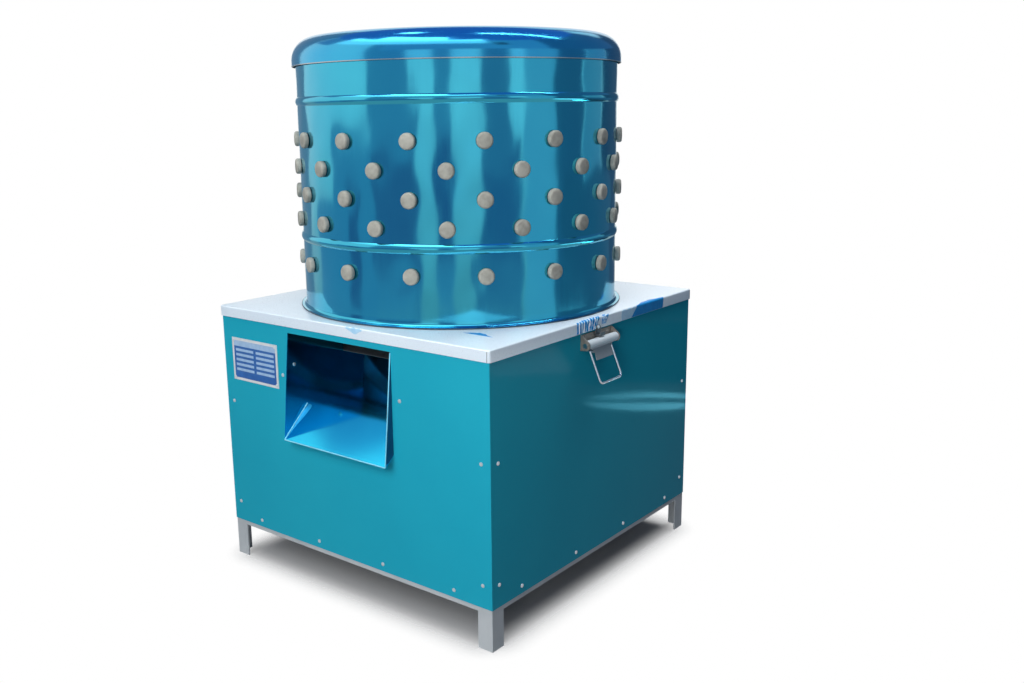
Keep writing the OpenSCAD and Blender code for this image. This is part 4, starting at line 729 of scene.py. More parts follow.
@dataclass
class Drum:
    """Spun drum: wall with foot flange and two beads, rolled rim, and the rows of fingers.

    A ramp is given by its gap from the wall's end and its width. A ripple is given by its share, its waves
    round the drum, its lean by height and its start. Steps of the rim are those outside, then inside.
    """

    foot_reach: float = 10.0
    foot_t: float = 2.4
    foot_fillet: float = 7.0
    fillet_steps: int = 6
    wall_t: float = 1.0
    bead_heights: tuple[float, float] = (134.0, 379.0)
    bead_h: float = 3.5
    bead_w: float = 16.0
    bead_steps: int = 8
    run_steps: tuple[int, int, int] = (16, 34, 8)
    rim_overhang: float = 6.5
    rim_t: float = 1.2
    rim_round: float = 42.0
    rim_roll: float = 9.5
    rim_straight: float = 3.0
    crown_steps: tuple[int, int] = (28, 20)
    roll_steps: tuple[int, int] = (10, 8)
    edge_show: float = 1.6
    row_count: int = 15
    rows: int = 5
    row_angle: float = -42.0
    row_low: float = 88.0
    row_first_step: float = 79.0
    row_step: float = 48.1
    finger_play: float = 0.35
    finger_seed: int = 7
    columns: int = 360
    dimple: float = 0.45
    dimple_w: float = 20.0
    ripple: float = 0.24
    ripples: tuple[tuple[float, int, float, float], ...] = (
        (1.0, 5, 0.011, 0.0),
        (0.8, 11, -0.023, 1.3),
        (0.6, 19, 0.037, 0.4),
        (0.4, 31, -0.05, 2.1),
    )
    low_ramp: tuple[float, float] = (25.0, 40.0)
    high_ramp: tuple[float, float] = (12.0, 30.0)
    edge_rows: int = 6

    def __post_init__(self) -> None:
        """Take the drum's place from the frame."""
        low, high = box_mm("drum")
        self.plate_z = box_mm("top_plate")[1][2]
        self.wall_r = high[0] - self.foot_reach
        self.low_z, self.high_z = low[2], high[2]
        self.rim_low, self.rim_top = (corner[2] for corner in box_mm("drum_rim"))

    def finger_angles(self) -> tuple[Array, Array]:
        """Places of the fingers, row by row, with every other row turned by half a step.

        Returns:
            Angle in radians and height of every finger.
        """
        step = 360 / self.row_count
        rows = np.arange(self.rows)
        rises = np.where(rows > 0, self.row_first_step + (rows - 1) * self.row_step, 0)
        heights = self.plate_z + self.row_low + rises
        angles = self.row_angle - (rows % 2) * step / 2
        angles = angles[:, None] + np.arange(self.row_count) * step
        return np.radians(angles).ravel(), np.repeat(heights, self.row_count)

    def unevenness(self, angle: Array, z: Array) -> Array:
        """Unevenness of the sheet: slow ripples, less a bell-shaped dimple at each finger.

        Args:
            angle: Angle of each point, in radians.
            z: Height of each point.

        Returns:
            How far each point lies off the cylinder.
        """
        finger_a, finger_z = self.finger_angles()
        turn = np.angle(np.exp(1j * (angle[:, None] - finger_a))) * self.wall_r
        rise = z[:, None] - finger_z
        dimples = np.exp(-(turn**2 + rise**2) / (2 * self.dimple_w**2)).sum(1)
        ripples = sum(
            share * np.sin(waves * angle + lean * z + start) for share, waves, lean, start in self.ripples
        )
        return self.ripple * ripples - self.dimple * dimples

    def wall(self) -> None:
        """Build the wall, film outside and bare inside, uneven as thin sheet is."""
        r, inner, p = self.wall_r, self.wall_r - self.wall_t, self.plate_z
        edge = self.foot_t / 2
        half = self.bead_w / 2
        bead = (half**2 + self.bead_h**2) / (2 * self.bead_h)
        spread = math.degrees(math.asin(half / bead))
        first, second = (p + h for h in self.bead_heights)
        fillet = (r + self.foot_fillet, p + self.foot_t + self.foot_fillet)
        foot = np.concatenate(
            [
                [[r, self.low_z], [r, p]],
                arc((r + self.foot_reach - edge, p + edge), edge, -90, 90, self.edge_rows),
                arc(fillet, self.foot_fillet, 270, 180, self.fillet_steps),
            ]
        )

        def run(radius: float, start: float, end: float, steps: int) -> Array:
            """A straight stretch of wall, its ends left out."""
            return np.stack([np.full(steps, radius), np.linspace(start, end, steps + 2)[1:-1]], -1)

        def climb(radius: float, start: float, end: float) -> Array:
            """The wall from start to end at this radius, with its two beads."""
            centre = radius - (bead - self.bead_h)
            low, middle, high = self.run_steps
            return np.concatenate(
                [
                    run(radius, start, first - half, low),
                    arc((centre, first), bead, -spread, spread, self.bead_steps),
                    run(radius, first + half, second - half, middle),
                    arc((centre, second), bead, -spread, spread, self.bead_steps),
                    run(radius, second + half, end, high),
                ]
            )

        outer = climb(r, foot[-1, 1], self.high_z)
        inside = climb(inner, self.low_z, self.high_z)[::-1]
        ends = np.array([[r, self.high_z], [inner, self.high_z]])
        profile = np.concatenate([foot, outer, ends, inside, [[inner, self.low_z]]])
        points, faces = lathe(profile, self.columns, True)
        x, y, z = points.T
        radius = np.hypot(x, y)
        (low_gap, low_w), (high_gap, high_w) = self.low_ramp, self.high_ramp
        low_ramp = np.clip((z - p - low_gap) / low_w, 0, 1)
        high_ramp = np.clip((self.high_z - high_gap - z) / high_w, 0, 1)
        moved = (radius + low_ramp * high_ramp * self.unevenness(np.arctan2(y, x), z)) / radius
        points[:, :2] *= moved[:, None]
        row = np.arange(len(profile))
        # Faces: film outside, bare inside, and the foot's rolled edge coloured dark as painted shade
        choice = np.where(row >= len(foot) + len(outer), 1, np.where(row < 2 + self.edge_rows, 2, 0))
        piece = Piece("drum_wall", Body.TOP, "drum_film", ("drum",))
        finishes = [DRUM_FILM, BARE_STAINLESS, FOOT_EDGE_PAINTED_SHADE]
        piece.make((points, faces), finishes, np.repeat(choice, self.columns))

    def rim(self) -> None:
        """Build the rolled rim: filmed shoulder, bare cut edge and bare lip inside."""
        outer_r = self.wall_r + self.rim_overhang
        crown_r = outer_r - self.rim_round
        crown = (crown_r, self.rim_top - self.rim_round)
        roll = (crown_r, self.rim_top - self.rim_roll)
        mouth_r = crown_r - self.rim_roll
        low = self.rim_low
        cut = low + self.edge_show
        film = np.concatenate(
            [
                [[outer_r, cut], [outer_r, cut + self.rim_straight]],
                arc(crown, self.rim_round, 0, 90, self.crown_steps[0]),
                arc(roll, self.rim_roll, 90, 180, self.roll_steps[0])[1:],
            ]
        )
        bare = np.concatenate(
            [
                [[mouth_r, low], [mouth_r + self.rim_t, low]],
                arc(roll, self.rim_roll - self.rim_t, 180, 90, self.roll_steps[1]),
                arc(crown, self.rim_round - self.rim_t, 90, 0, self.crown_steps[1])[1:],
                [[outer_r - self.rim_t, low], [outer_r, low]],
            ]
        )
        surface = lathe(np.concatenate([film, bare]), self.columns, True)
        choice = np.repeat(np.arange(len(film) + len(bare)) >= len(film) - 1, self.columns)
        piece = Piece("drum_rim_roll", Body.TOP, "rim_film", ("drum_rim",))
        piece.make(surface, [RIM_FILM, BARE_STAINLESS], choice)

    def fingers(self, kind: FingerSet) -> None:
        """Set the fingers in the wall, heads outwards.

        Args:
            kind: The fingers to set.
        """
        angle, height = self.finger_angles()
        zero = 0 * angle
        out = np.stack([np.cos(angle), np.sin(angle), zero], -1)
        side = np.stack([-np.sin(angle), np.cos(angle), zero], -1)
        up = np.stack([zero, zero, zero + 1], -1)
        turns = np.stack([side, up, out], -1)
        places = out * (self.wall_r + kind.seat) + up * height[:, None]
        piece = Piece("drum_finger_set", Body.TOP, "finger_rubber", ("drum_fingers",))
        kind.make(piece, self.wall_t + self.finger_play, turns, places, self.finger_seed)


@dataclass
class Rotor:
    """Rings of fingers that stand on the rotor disc, heads below it."""

    ring_radii: tuple[float, ...] = (85.0, 134.0, 183.0)
    ring_pitch: float = 58.0
    finger_seed: int = 11

    def fingers(self, kind: FingerSet) -> None:
        """Set the fingers in the disc, heads downwards.

        Args:
            kind: The fingers to set.
        """
        low, high = (corner[2] for corner in box_mm("rotor_disc"))
        counts = [math.floor(2 * math.pi * r / self.ring_pitch) for r in self.ring_radii]
        angle = np.concatenate([np.arange(n) * 2 * math.pi / n for n in counts])
        radius = np.repeat(self.ring_radii, counts)
        z = np.full(len(angle), low - kind.seat)
        places = np.stack([radius * np.cos(angle), radius * np.sin(angle), z], -1)
        turns = np.repeat(np.diag([1.0, -1.0, -1.0])[None], len(angle), 0)
        piece = Piece("rotor_finger_set", Body.ROTOR, "finger_rubber", ("rotor_fingers",))
        kind.make(piece, high - low + 2 * kind.seat, turns, places, self.finger_seed)


@dataclass
class TopPlate:
    """Folded square plate with a round opening, its edge bent down into a skirt."""

    corner_r: float = 5.0
    least_corner_r: float = 0.4
    bend_r: float = 2.5
    bend_steps: int = 6
    inner_bend_steps: int = 4
    sheet_t: float = 1.5
    opening_gap: float = 0.3
    seam_w: float = 0.9
    seam_out: float = 0.1
    seam_gap: float = 0.3
    seam_rows: int = 6
    corner_steps: int = 8
    side_steps: int = 24

    def outline(self, half: float, inset: Array) -> Array:
        """Rounded squares, one for each inset, going round counter-clockwise.

        Args:
            half: Half the width of the plate.
            inset: How far each square lies inside the plate.

        Returns:
            Points (x, y), a row for each square.
        """
        turn = np.radians(np.linspace(0, 90, self.corner_steps + 1))
        side = np.linspace(-1, 1, self.side_steps + 2)[1:-1]
        radius = np.maximum(self.corner_r - inset, self.least_corner_r)[:, None]
        reach = (half - inset)[:, None]
        straight = reach - radius
        corner = np.stack([straight + radius * np.cos(turn), straight + radius * np.sin(turn)], -1)
        edge = np.stack([straight * -side, np.broadcast_to(reach, (len(inset), len(side)))], -1)
        quarter = np.concatenate([corner, edge], 1)
        spin = [np.array([[c, s], [-s, c]]) for c, s in ((1, 0), (0, 1), (-1, 0), (0, -1))]
        return np.concatenate([quarter @ m for m in spin], 1)

    def make(self, drum: Drum) -> None:
        """Build the plate: from the opening over the top, round the bend, down the skirt and back inside.

        Args:
            drum: The drum that stands in the opening.
        """
        low, high = box_mm("top_plate")
        half, top, bottom = high[0], high[2], low[2]
        bend = np.radians(np.linspace(90, 0, self.bend_steps + 1))
        inner_bend = np.radians(np.linspace(0, 90, self.inner_bend_steps + 1))
        inner_r = self.bend_r - self.sheet_t
        inset = np.concatenate(
            [
                self.bend_r * (1 - np.cos(bend)),
                [0.0, self.sheet_t],
                self.bend_r - inner_r * np.cos(inner_bend),
            ]
        )
        height = np.concatenate(
            [
                top - self.bend_r * (1 - np.sin(bend)),
                [bottom, bottom],
                top - self.bend_r + inner_r * np.sin(inner_bend),
            ]
        )
        rings = self.outline(half, inset)
        shape = np.concatenate([rings, np.broadcast_to(height[:, None, None], (*rings.shape[:2], 1))], -1)
        edge = rings[0] / np.linalg.norm(rings[0], axis=-1, keepdims=True)
        opening = edge * (drum.wall_r + self.opening_gap)
        levels = [np.full((len(edge), 1), z) for z in (top, top - self.sheet_t)]
        over, under = (np.concatenate([opening, level], -1)[None] for level in levels)
        points = np.concatenate([over, shape, under]).reshape(-1, 3)
        faces = grid_faces(len(height) + 2, len(edge), True, True)[:, ::-1].tolist()
        piece = Piece("top_plate_sheet", Body.TOP, "plate_stainless", ("top_plate",), sharp_angle=35)
        piece.make((points, faces), [FILMED_PLATE])

    def seams(self) -> None:
        """Mark the seam where the skirt's sides meet beside each rounded corner, as a thin upright strip."""
        low, high = box_mm("top_plate")
        x = high[0] - self.corner_r - np.array([[self.seam_w, 0.0]])
        z = np.linspace(low[2] + self.seam_gap, high[2] - self.bend_r, self.seam_rows)[:, None]
        y = np.full((self.seam_rows, 2), low[1] - self.seam_out)
        front = np.stack([x + 0 * z, y, z + 0 * x], -1)
        quarter = np.radians(np.arange(4) * 90)
        c, s, zero = np.cos(quarter), np.sin(quarter), 0 * quarter
        turns = np.stack([np.stack([c, -s, zero], -1), np.stack([s, c, zero], -1), [[0, 0, 1]] * 4], 1)
        strip = slab(front, front + [0, self.seam_out, 0])
        piece = Piece("top_plate_seams", Body.TOP, "plate_stainless")
        piece.make(repeat(strip, turns, np.zeros((4, 3))), [SEAM_SHADE])


@dataclass
class DataPlate:
    """Printed plate: bare border, blue field, paler header band and blank pale bars, with no words."""

    border: float = 5.0
    header_h: float = 11.0
    bar_h: float = 5.0
    bar_gap: float = 4.6
    rows: int = 5
    margin: float = 5.0
    column_gap: float = 7.0
    bar_columns: tuple[int, int] = (2, 4)

    def make(self) -> None:
        """Build the plate as a box whose front is a grid of cells, each with its ink."""
        low, high = box_mm("nameplate")
        field_x = (low[0] + self.border, high[0] - self.border)
        field_top = high[2] - self.border
        middle = (low[0] + high[0]) / 2
        bars_x = [
            field_x[0] + self.margin, middle - self.column_gap / 2,
            middle + self.column_gap / 2, field_x[1] - self.margin,
        ]
        xs = np.array([low[0], field_x[0], *bars_x, field_x[1], high[0]])
        header_low = field_top - self.header_h
        tops = header_low - self.bar_gap - np.arange(self.rows) * (self.bar_h + self.bar_gap)
        bars_z = np.stack([tops - self.bar_h, tops], -1)[::-1].ravel()
        zs = np.array([low[2], low[2] + self.border, *bars_z, header_low, field_top, high[2]])
        x, z = np.meshgrid(xs, zs)
        front = np.stack([x, np.full_like(x, low[1]), z], -1)
        surface = slab(front, front + [0, high[1] - low[1], 0])
        last_i, last_j = len(zs) - 2, len(xs) - 2
        i, j = np.divmod(np.arange((last_i + 1) * (last_j + 1)), last_j + 1)
        field = (i > 0) & (i < last_i) & (j > 0) & (j < last_j)
        header = field & (i == last_i - 1)
        bar = field & (i % 2 == 0) & (i < last_i - 1) & np.isin(j, self.bar_columns)
        ink = np.where(header | bar, 2, np.where(field, 1, 0))
        choice = np.zeros(len(surface[1]), int)
        choice[: len(ink)] = ink
        piece = Piece("data_plate_print", Body.BASE, "data_plate", ("nameplate",), sharp_angle=20)
        piece.make(surface, [PLATE_BORDER, PLATE_BLUE, PLATE_PALE], choice)


@dataclass
class Chute:
    """The chute's rolled hems in a pale colour of painted highlight, the soft fold beside its floor and a
    dark sheet of painted shade on the outer side of its right cheek.

    The left hem lies hem_seat radii in and up from the lip's corner, and ends at hem_lift of the fold's rise.
    The fold starts fold_seat in and back from that corner. Layers are heights above and below a sheet's face.
    """

    flange: float = 30.0
    sheet_t: float = 1.0
    slope: float = 41.5
    hem_r: float = 1.1
    hem_seat: tuple[float, float] = (1 / 3, 1 / 2)
    hem_lift: float = 0.7
    side_hem: float = 82.0
    fold_start: float = 0.8
    fold_w: float = 20.0
    fold_rise: float = 0.2
    fold_seat: tuple[float, float] = (-0.3, 0.5)
    fold_layers: tuple[float, float] = (0.15, 0.2)
    fold_end: float = 0.9
    fold_end_power: int = 8
    fold_steps: int = 12
    cheek_span: tuple[float, float] = (0.03, 0.95)
    cheek_rows: int = 16
    cheek_columns: int = 4
    cheek_gap: float = 0.2
    cheek_layers: tuple[float, float] = (0.25, 0.2)

    def __post_init__(self) -> None:
        """Take the chute's place from the frame."""
        low, high = box_mm("feather_chute")
        tilt = math.radians(self.slope)
        self.panel_y = box_mm("front_panel")[0][1]
        self.left, self.right = low[0] + self.flange, high[0] - self.flange
        self.lip_y, self.lip_z = low[1], low[2] + self.sheet_t / math.cos(tilt)
        self.top_z = high[2] - self.hem_r
        self.climb = np.array([0, math.cos(tilt), math.sin(tilt)])
        self.outward = np.array([0, -math.sin(tilt), math.cos(tilt)])

    def hems(self) -> None:
        """Build the hems as thin bars along the lip, the right cheek's edge and the floor's left edge, pale
        as a painted highlight.
        """
        seat_in, seat_up = (share * self.hem_r for share in self.hem_seat)
        corner = np.array([self.left + seat_in, self.lip_y, self.lip_z + seat_up])
        lift = self.hem_lift * self.fold_rise * self.fold_w
        cheek_x = self.right + self.sheet_t / 2
        starts = np.array([[self.left, self.lip_y, self.lip_z], [cheek_x, self.lip_y, self.lip_z], corner])
        ends = np.array(
            [
                [self.right, self.lip_y, self.lip_z],
                [cheek_x, self.panel_y, self.top_z],
                corner + self.side_hem * self.climb + lift * self.outward,
            ]
        )
        piece = Piece("chute_hems", Body.BASE, "chute_film")
        piece.make(rods(starts, ends, self.hem_r), [FILM_EDGE_PAINTED_HIGHLIGHT])

    def fold(self) -> None:
        """Build the fold beside the left cheek, a strip that widens up the floor and ends flat.

        At fractions s up the floor and u across the strip it curls up by (1 - u) squared times the rise.
        """
        s = np.linspace(0, 1, self.fold_steps + 1)[:, None, None]
        u = np.linspace(0, 1, self.fold_steps + 1)[None, :, None]
        width = self.fold_start + (self.fold_w - self.fold_start) * s
        corner = np.array([self.left + self.fold_seat[0], self.lip_y + self.fold_seat[1], self.lip_z])
        floor = corner + s * self.side_hem * self.climb + u * width * np.array([1.0, 0, 0])
        above, below = self.fold_layers
        flatten = 1 - self.fold_end * s**self.fold_end_power
        curl = above + self.fold_rise * width * (1 - u) ** 2 * flatten
        piece = Piece("chute_fold", Body.BASE, "chute_film", sharp_angle=60)
        piece.make(slab(floor + curl * self.outward, floor - below * self.outward), [FILM_FOLD])

    def cheek(self) -> None:
        """Build a dark sheet of painted shade over the right cheek's outer side, from its sloping edge to the
        panel or the floor.
        """
        t = np.linspace(*self.cheek_span, self.cheek_rows)[:, None]
        u = np.linspace(0, 1, self.cheek_columns)[None, :]
        z = self.lip_z + t * (self.top_z - self.lip_z)
        edge = self.lip_y + t * (self.panel_y - self.lip_y)
        floor_y = self.lip_y + (z - self.lip_z) * self.climb[1] / self.climb[2]
        back = np.minimum(self.panel_y - self.cheek_gap, floor_y)
        y = edge + u * (back - edge)
        outer = self.right + self.sheet_t
        above, below = self.cheek_layers
        faces = (outer + above, outer - below)
        sides = [np.stack([np.full_like(y, x), y, z + 0 * y], -1) for x in faces]
        # The sheet's dark colour is painted shade
        Piece("chute_cheek_painted_shade", Body.BASE, "chute_film").make(slab(*sides), [CHEEK_PAINTED_SHADE])


class Side(Enum):
    """Sides of the top plate that carry shreds of film, as the turn from the right side in degrees."""

    RIGHT = 0
    FRONT = -90


@dataclass(frozen=True)
class Shred:
    """A torn four-sided shred of film, with places along its side measured from the side's middle.

    Its climbs are those of its lower edge, of its upper edge, and the bulge of its upper edge. Its crease is
    the height of its upright creases and the distance between them. Several finishes alternate in stripes.
    """

    name: str
    side: Side
    low_ends: tuple[float, float]
    high_ends: tuple[float, float]
    climbs: tuple[float, float, float]
    finishes: list[Finish]
    crease: tuple[float, float] = (0.15, 9.0)
    seed: int = 3


@dataclass
class FilmRemnants:
    """Shreds of film on the plate's edge, each a thin sheet that follows the skirt, the bend and the top.

    Creases sway by a share of their distance, over a length in millimetres. Stripes are the least and the
    greatest step of the choice of finish from one column to the next.
    """

    lift: float = 0.3
    back: float = 0.05
    bend_r: float = TopPlate.bend_r
    ragged: float = 1.3
    end_tears: float = 3.0
    top_tears: float = 3.0
    least_tear: float = 0.5
    sway: tuple[float, float] = (0.3, 7.0)
    edge_slope: float = 4.0
    stripes: tuple[float, float] = (0.12, 0.32)
    rows: int = 22
    columns: int = 80

    def __post_init__(self) -> None:
        """Take the plate's place from the frame."""
        low, high = box_mm("top_plate")
        self.half, self.low_z = high[0], low[2]
        self.straight = high[2] - low[2] - self.bend_r

    def wrap(self, side: Side, along: Array, climb: Array, off: Array | float) -> Array:
        """Points that lie climb mm up the plate's edge: up the skirt, round the bend, inwards on the top.

        Args:
            side: Which side of the plate.
            along: Distance along that side from its middle.
            climb: Distance up the surface from the skirt's lower edge.
            off: Height above the surface.

        Returns:
            The points, in millimetres.
        """
        turn = np.clip((climb - self.straight) / self.bend_r, 0, math.pi / 2)
        over = np.maximum(climb - self.straight - self.bend_r * math.pi / 2, 0)
        out = self.half - self.bend_r - over + (self.bend_r + off) * np.cos(turn)
        rise = self.low_z + np.minimum(climb, self.straight) + (self.bend_r + off) * np.sin(turn)
        c, s = math.cos(math.radians(side.value)), math.sin(math.radians(side.value))
        return np.stack([c * out - s * along, s * out + c * along, rise], -1)

    def lay(self, shred: Shred) -> None:
        """Lay a shred with torn edges and upright creases.

        A point at fractions s across and t up lies at the mix of low_ends and high_ends by t, then by s. Its
        climb runs from the first of climbs to the second, with a bulge of the third in the middle of its top.

        Args:
            shred: Which shred.
        """
        rng = np.random.default_rng(shred.seed)
        t = np.linspace(0, 1, self.rows)[:, None]
        s = np.linspace(0, 1, self.columns)[None]
        tear_ends = self.ragged * np.cumsum(rng.uniform(-1, 1, (2, self.rows)), 1) / self.end_tears
        tear_wave = np.sin(2 * math.pi * (self.top_tears * s + rng.uniform()))
        tear_top = self.ragged * tear_wave * rng.uniform(self.least_tear, 1, self.columns)
        start, end = (
            low + (high - low) * t + tear[:, None]
            for low, high, tear in zip(shred.low_ends, shred.high_ends, tear_ends)
        )
        along = start + (end - start) * s
        foot, head, bulge = shred.climbs
        climb = foot + (head - foot + bulge * np.sin(math.pi * s) + tear_top) * t
        height, pitch = shred.crease
        share, length = self.sway
        fold = np.sin(2 * math.pi * (along / pitch + share * np.sin(along / length))) ** 2
        edge = np.minimum(np.sin(math.pi * s) * self.edge_slope, 1)
        off = self.lift + height * fold * edge
        sheets = (self.wrap(shred.side, along, climb, layer) for layer in (off, self.back))
        surface = slab(*sheets)
        choice = np.zeros(len(surface[1]), int)
        kinds = len(shred.finishes)
        if kinds > 1:
            picks = np.cumsum(rng.uniform(*self.stripes, self.columns - 1)).astype(int) % kinds
            front = (self.rows - 1) * (self.columns - 1)
            choice[:front] = np.tile(picks, self.rows - 1)
        piece = Piece(shred.name, Body.TOP, "plate_stainless", sharp_angle=60)
        piece.make(surface, shred.finishes, choice)

    def make(self) -> None:
        """Lay the shreds where the film was torn away."""
        full = self.straight + self.bend_r * math.pi / 2
        right, front = Side.RIGHT, Side.FRONT
        blue, pale, mixed = [BLUE_SHRED], [PALE_SHRED], [BLUE_SHRED, FILMED_PLATE, BLUE_SHRED, PALE_SHRED]
        shreds = (
            Shred("film_patch", right, (95, 213), (116, 216), (0.4, full - 2, 9), blue),
            Shred("film_patch_pale", right, (60, 94), (60, 115), (0.4, full - 3, 0), pale, seed=5),
            Shred("film_creases", right, (-88, -22), (-86, -10), (1, full - 1, 3), mixed, (1.6, 8.5), 8),
            Shred("film_tatter", right, (-8, 6), (-9, 16), (6, full - 2, 4), mixed, (0.8, 7), 4),
            Shred("film_sliver", front, (214, 276), (222, 262), (full + 74, full + 78, 9), blue, seed=9),
            Shred("film_scrap", front, (36, 40), (14, 56), (9, full - 3, 1), pale, seed=6),
        )
        for shred in shreds:
            self.lay(shred)


def bow(
    start: tuple[float, float], middle: tuple[float, float], end: tuple[float, float], steps: int = 8
) -> Array:
    """Points of a curve drawn towards middle: (1 - t)^2 start + 2 t (1 - t) middle + t^2 end."""
    t = np.linspace(0, 1, steps + 1)[:, None]
    return (1 - t) ** 2 * np.array(start) + 2 * t * (1 - t) * np.array(middle) + t**2 * np.array(end)


# Ring that the tall flags hang on, in metres: its radius, and the heights of their lower and upper edges
FLAG_R = 2.6
FLAG_FOOT = 0.02
FLAG_TOP = 3.4
WHITE = "#ffffff"


@dataclass
class Studio:
    """Pale floor, soft lamps, flags and cards that only show in reflections, and the camera, in metres."""

    floor_r: float = 1.2
    floor_colour: str = "#b2b3b4"
    fade_start: float = -0.05
    fade_end: float = 0.045
    ambient: float = 0.1
    ambient_colour: str = "#a6c8f8"
    below: float = 0.5
    horizon: tuple[float, float] = (-0.2, 0.02)
    low_flag_h: float = 0.62
    high_flag_z: float = 1.5
    floor_flag_z: float = 0.001
    streak_z: float = 0.002
    ring_steps: int = 8
    sector_steps: int = 48
    aim_z: float = 0.5

    def world(self) -> None:
        """White behind the object, dimmer below the horizon in its mirrors, and weak on its matt surfaces."""
        world = bpy.data.worlds.new("studio_world")
        tree = fresh_tree(world)
        path = add(tree, "ShaderNodeLightPath").outputs
        place = add(tree, "ShaderNodeTexCoord").outputs["Generated"]
        rise = add(tree, "ShaderNodeSeparateXYZ", {"Vector": place}).outputs["Z"]
        span = {"From Min": self.horizon[0], "From Max": self.horizon[1], "To Min": self.below, "To Max": 1.0}
        mirrored = add(tree, "ShaderNodeMapRange", {"Value": rise, **span})
        fill, mirror, plain = (
            add(tree, "ShaderNodeBackground", {"Color": linear(colour), "Strength": strength})
            for colour, strength in ((self.ambient_colour, self.ambient), (WHITE, mirrored), (WHITE, 1.0))
        )
        indirect = add(tree, "ShaderNodeMixShader", {0: path["Is Glossy Ray"], 1: fill, 2: mirror})
        rays = {0: path["Is Camera Ray"], 1: path["Is Transmission Ray"]}
        seen = add(tree, "ShaderNodeMath", rays, operation="MAXIMUM")
        both = add(tree, "ShaderNodeMixShader", {0: seen, 1: indirect, 2: plain})
        add(tree, "ShaderNodeOutputWorld", {"Surface": both})
        bpy.context.scene.world = world

    def floor(self) -> None:
        """Lay a pale floor that thins out into the white around it, by the distance from the base's sides."""
        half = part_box("top_plate")[1].x + self.fade_start
        side = np.linspace(-self.floor_r, self.floor_r, 2)
        x, y = np.meshgrid(side, side)
        points = np.stack([x, y, 0 * x], -1).reshape(-1, 3)
        made = bpy.data.materials.new("pale_studio_floor")
        tree = fresh_tree(made)
        place = add(tree, "ShaderNodeTexCoord").outputs["Object"]
        either = add(tree, "ShaderNodeVectorMath", {0: place}, operation="ABSOLUTE")
        beyond = add(tree, "ShaderNodeVectorMath", {0: either, 1: (half, half, 0)}, operation="SUBTRACT")
        outside = add(tree, "ShaderNodeVectorMath", {0: beyond, 1: (0, 0, 0)}, operation="MAXIMUM")
        away = add(tree, "ShaderNodeVectorMath", {0: outside}, operation="LENGTH").outputs["Value"]
        reach = {"Value": away, "From Max": self.fade_end - self.fade_start}
        fade = add(tree, "ShaderNodeMapRange", reach, interpolation_type="SMOOTHSTEP")
        matt = add(tree, "ShaderNodeBsdfDiffuse", {"Color": linear(self.floor_colour)})
        clear = add(tree, "ShaderNodeBsdfTransparent")
        both = add(tree, "ShaderNodeMixShader", {0: fade, 1: matt, 2: clear})
        add(tree, "ShaderNodeOutputMaterial", {"Surface": both})
        floor = mesh_object("floor", points, grid_faces(2, 2, False).tolist(), [made])

    def flag(self, name: str, points: Array, colour: str, strength: float = 1.0) -> None:
        """Hang a flag or a bright card that shows in mirrors only, of one even colour.

        Args:
            name: Name of the flag.
            points: Grid of its points, in metres.
            colour: Its colour.
            strength: How bright it is.
        """
        made = bpy.data.materials.new(name)
        tree = fresh_tree(made)
        glow = add(tree, "ShaderNodeEmission", {"Color": linear(colour), "Strength": strength})
        add(tree, "ShaderNodeOutputMaterial", {"Surface": glow})
        faces = grid_faces(*points.shape[:2], False).tolist()
        flag = mesh_object(name, points.reshape(-1, 3), faces, [made])
        flag.visible_camera = False
        flag.visible_diffuse = False
        flag.visible_shadow = False
        flag.visible_transmission = False

    def sweep(self, start: float, end: float, edges: list[tuple[float, float]], steps: int) -> Array:
        """Grid between two edges that are carried round the set: (r cos a, r sin a, z) at angle a.

        Args:
            start: Angle where it starts, in degrees.
            end: Angle where it ends, in degrees.
            edges: Radius and height of each edge.
            steps: Number of steps from start to end.

        Returns:
            Its points.
        """
        radius, height = np.array(edges).T[:, :, None]
        angle = np.radians(np.linspace(start, end, steps + 1))[None]
        return np.stack([radius * np.cos(angle), radius * np.sin(angle), height + 0 * angle], -1)

    def ring(
        self, start: float, end: float, low: float = FLAG_FOOT, high: float = FLAG_TOP, near: float = 0.0
    ) -> Array:
        """Grid of an upright flag on an arc, this near inside the ring of tall flags."""
        radius = FLAG_R - near
        return self.sweep(start, end, [(radius, low), (radius, high)], self.ring_steps)

    def sector(self, start: float, end: float, inner: float, outer: float, height: float) -> Array:
        """Grid of a level flag on a sector of a ring."""
        return self.sweep(start, end, [(inner, height), (outer, height)], self.sector_steps)

    def level(self, far: Array | list, near: Array | list, height: float) -> Array:
        """Grid of a level card between two lines of points, at one height."""
        edges = np.array([far, near])
        return np.concatenate([edges, np.full((*edges.shape[:2], 1), height)], -1)

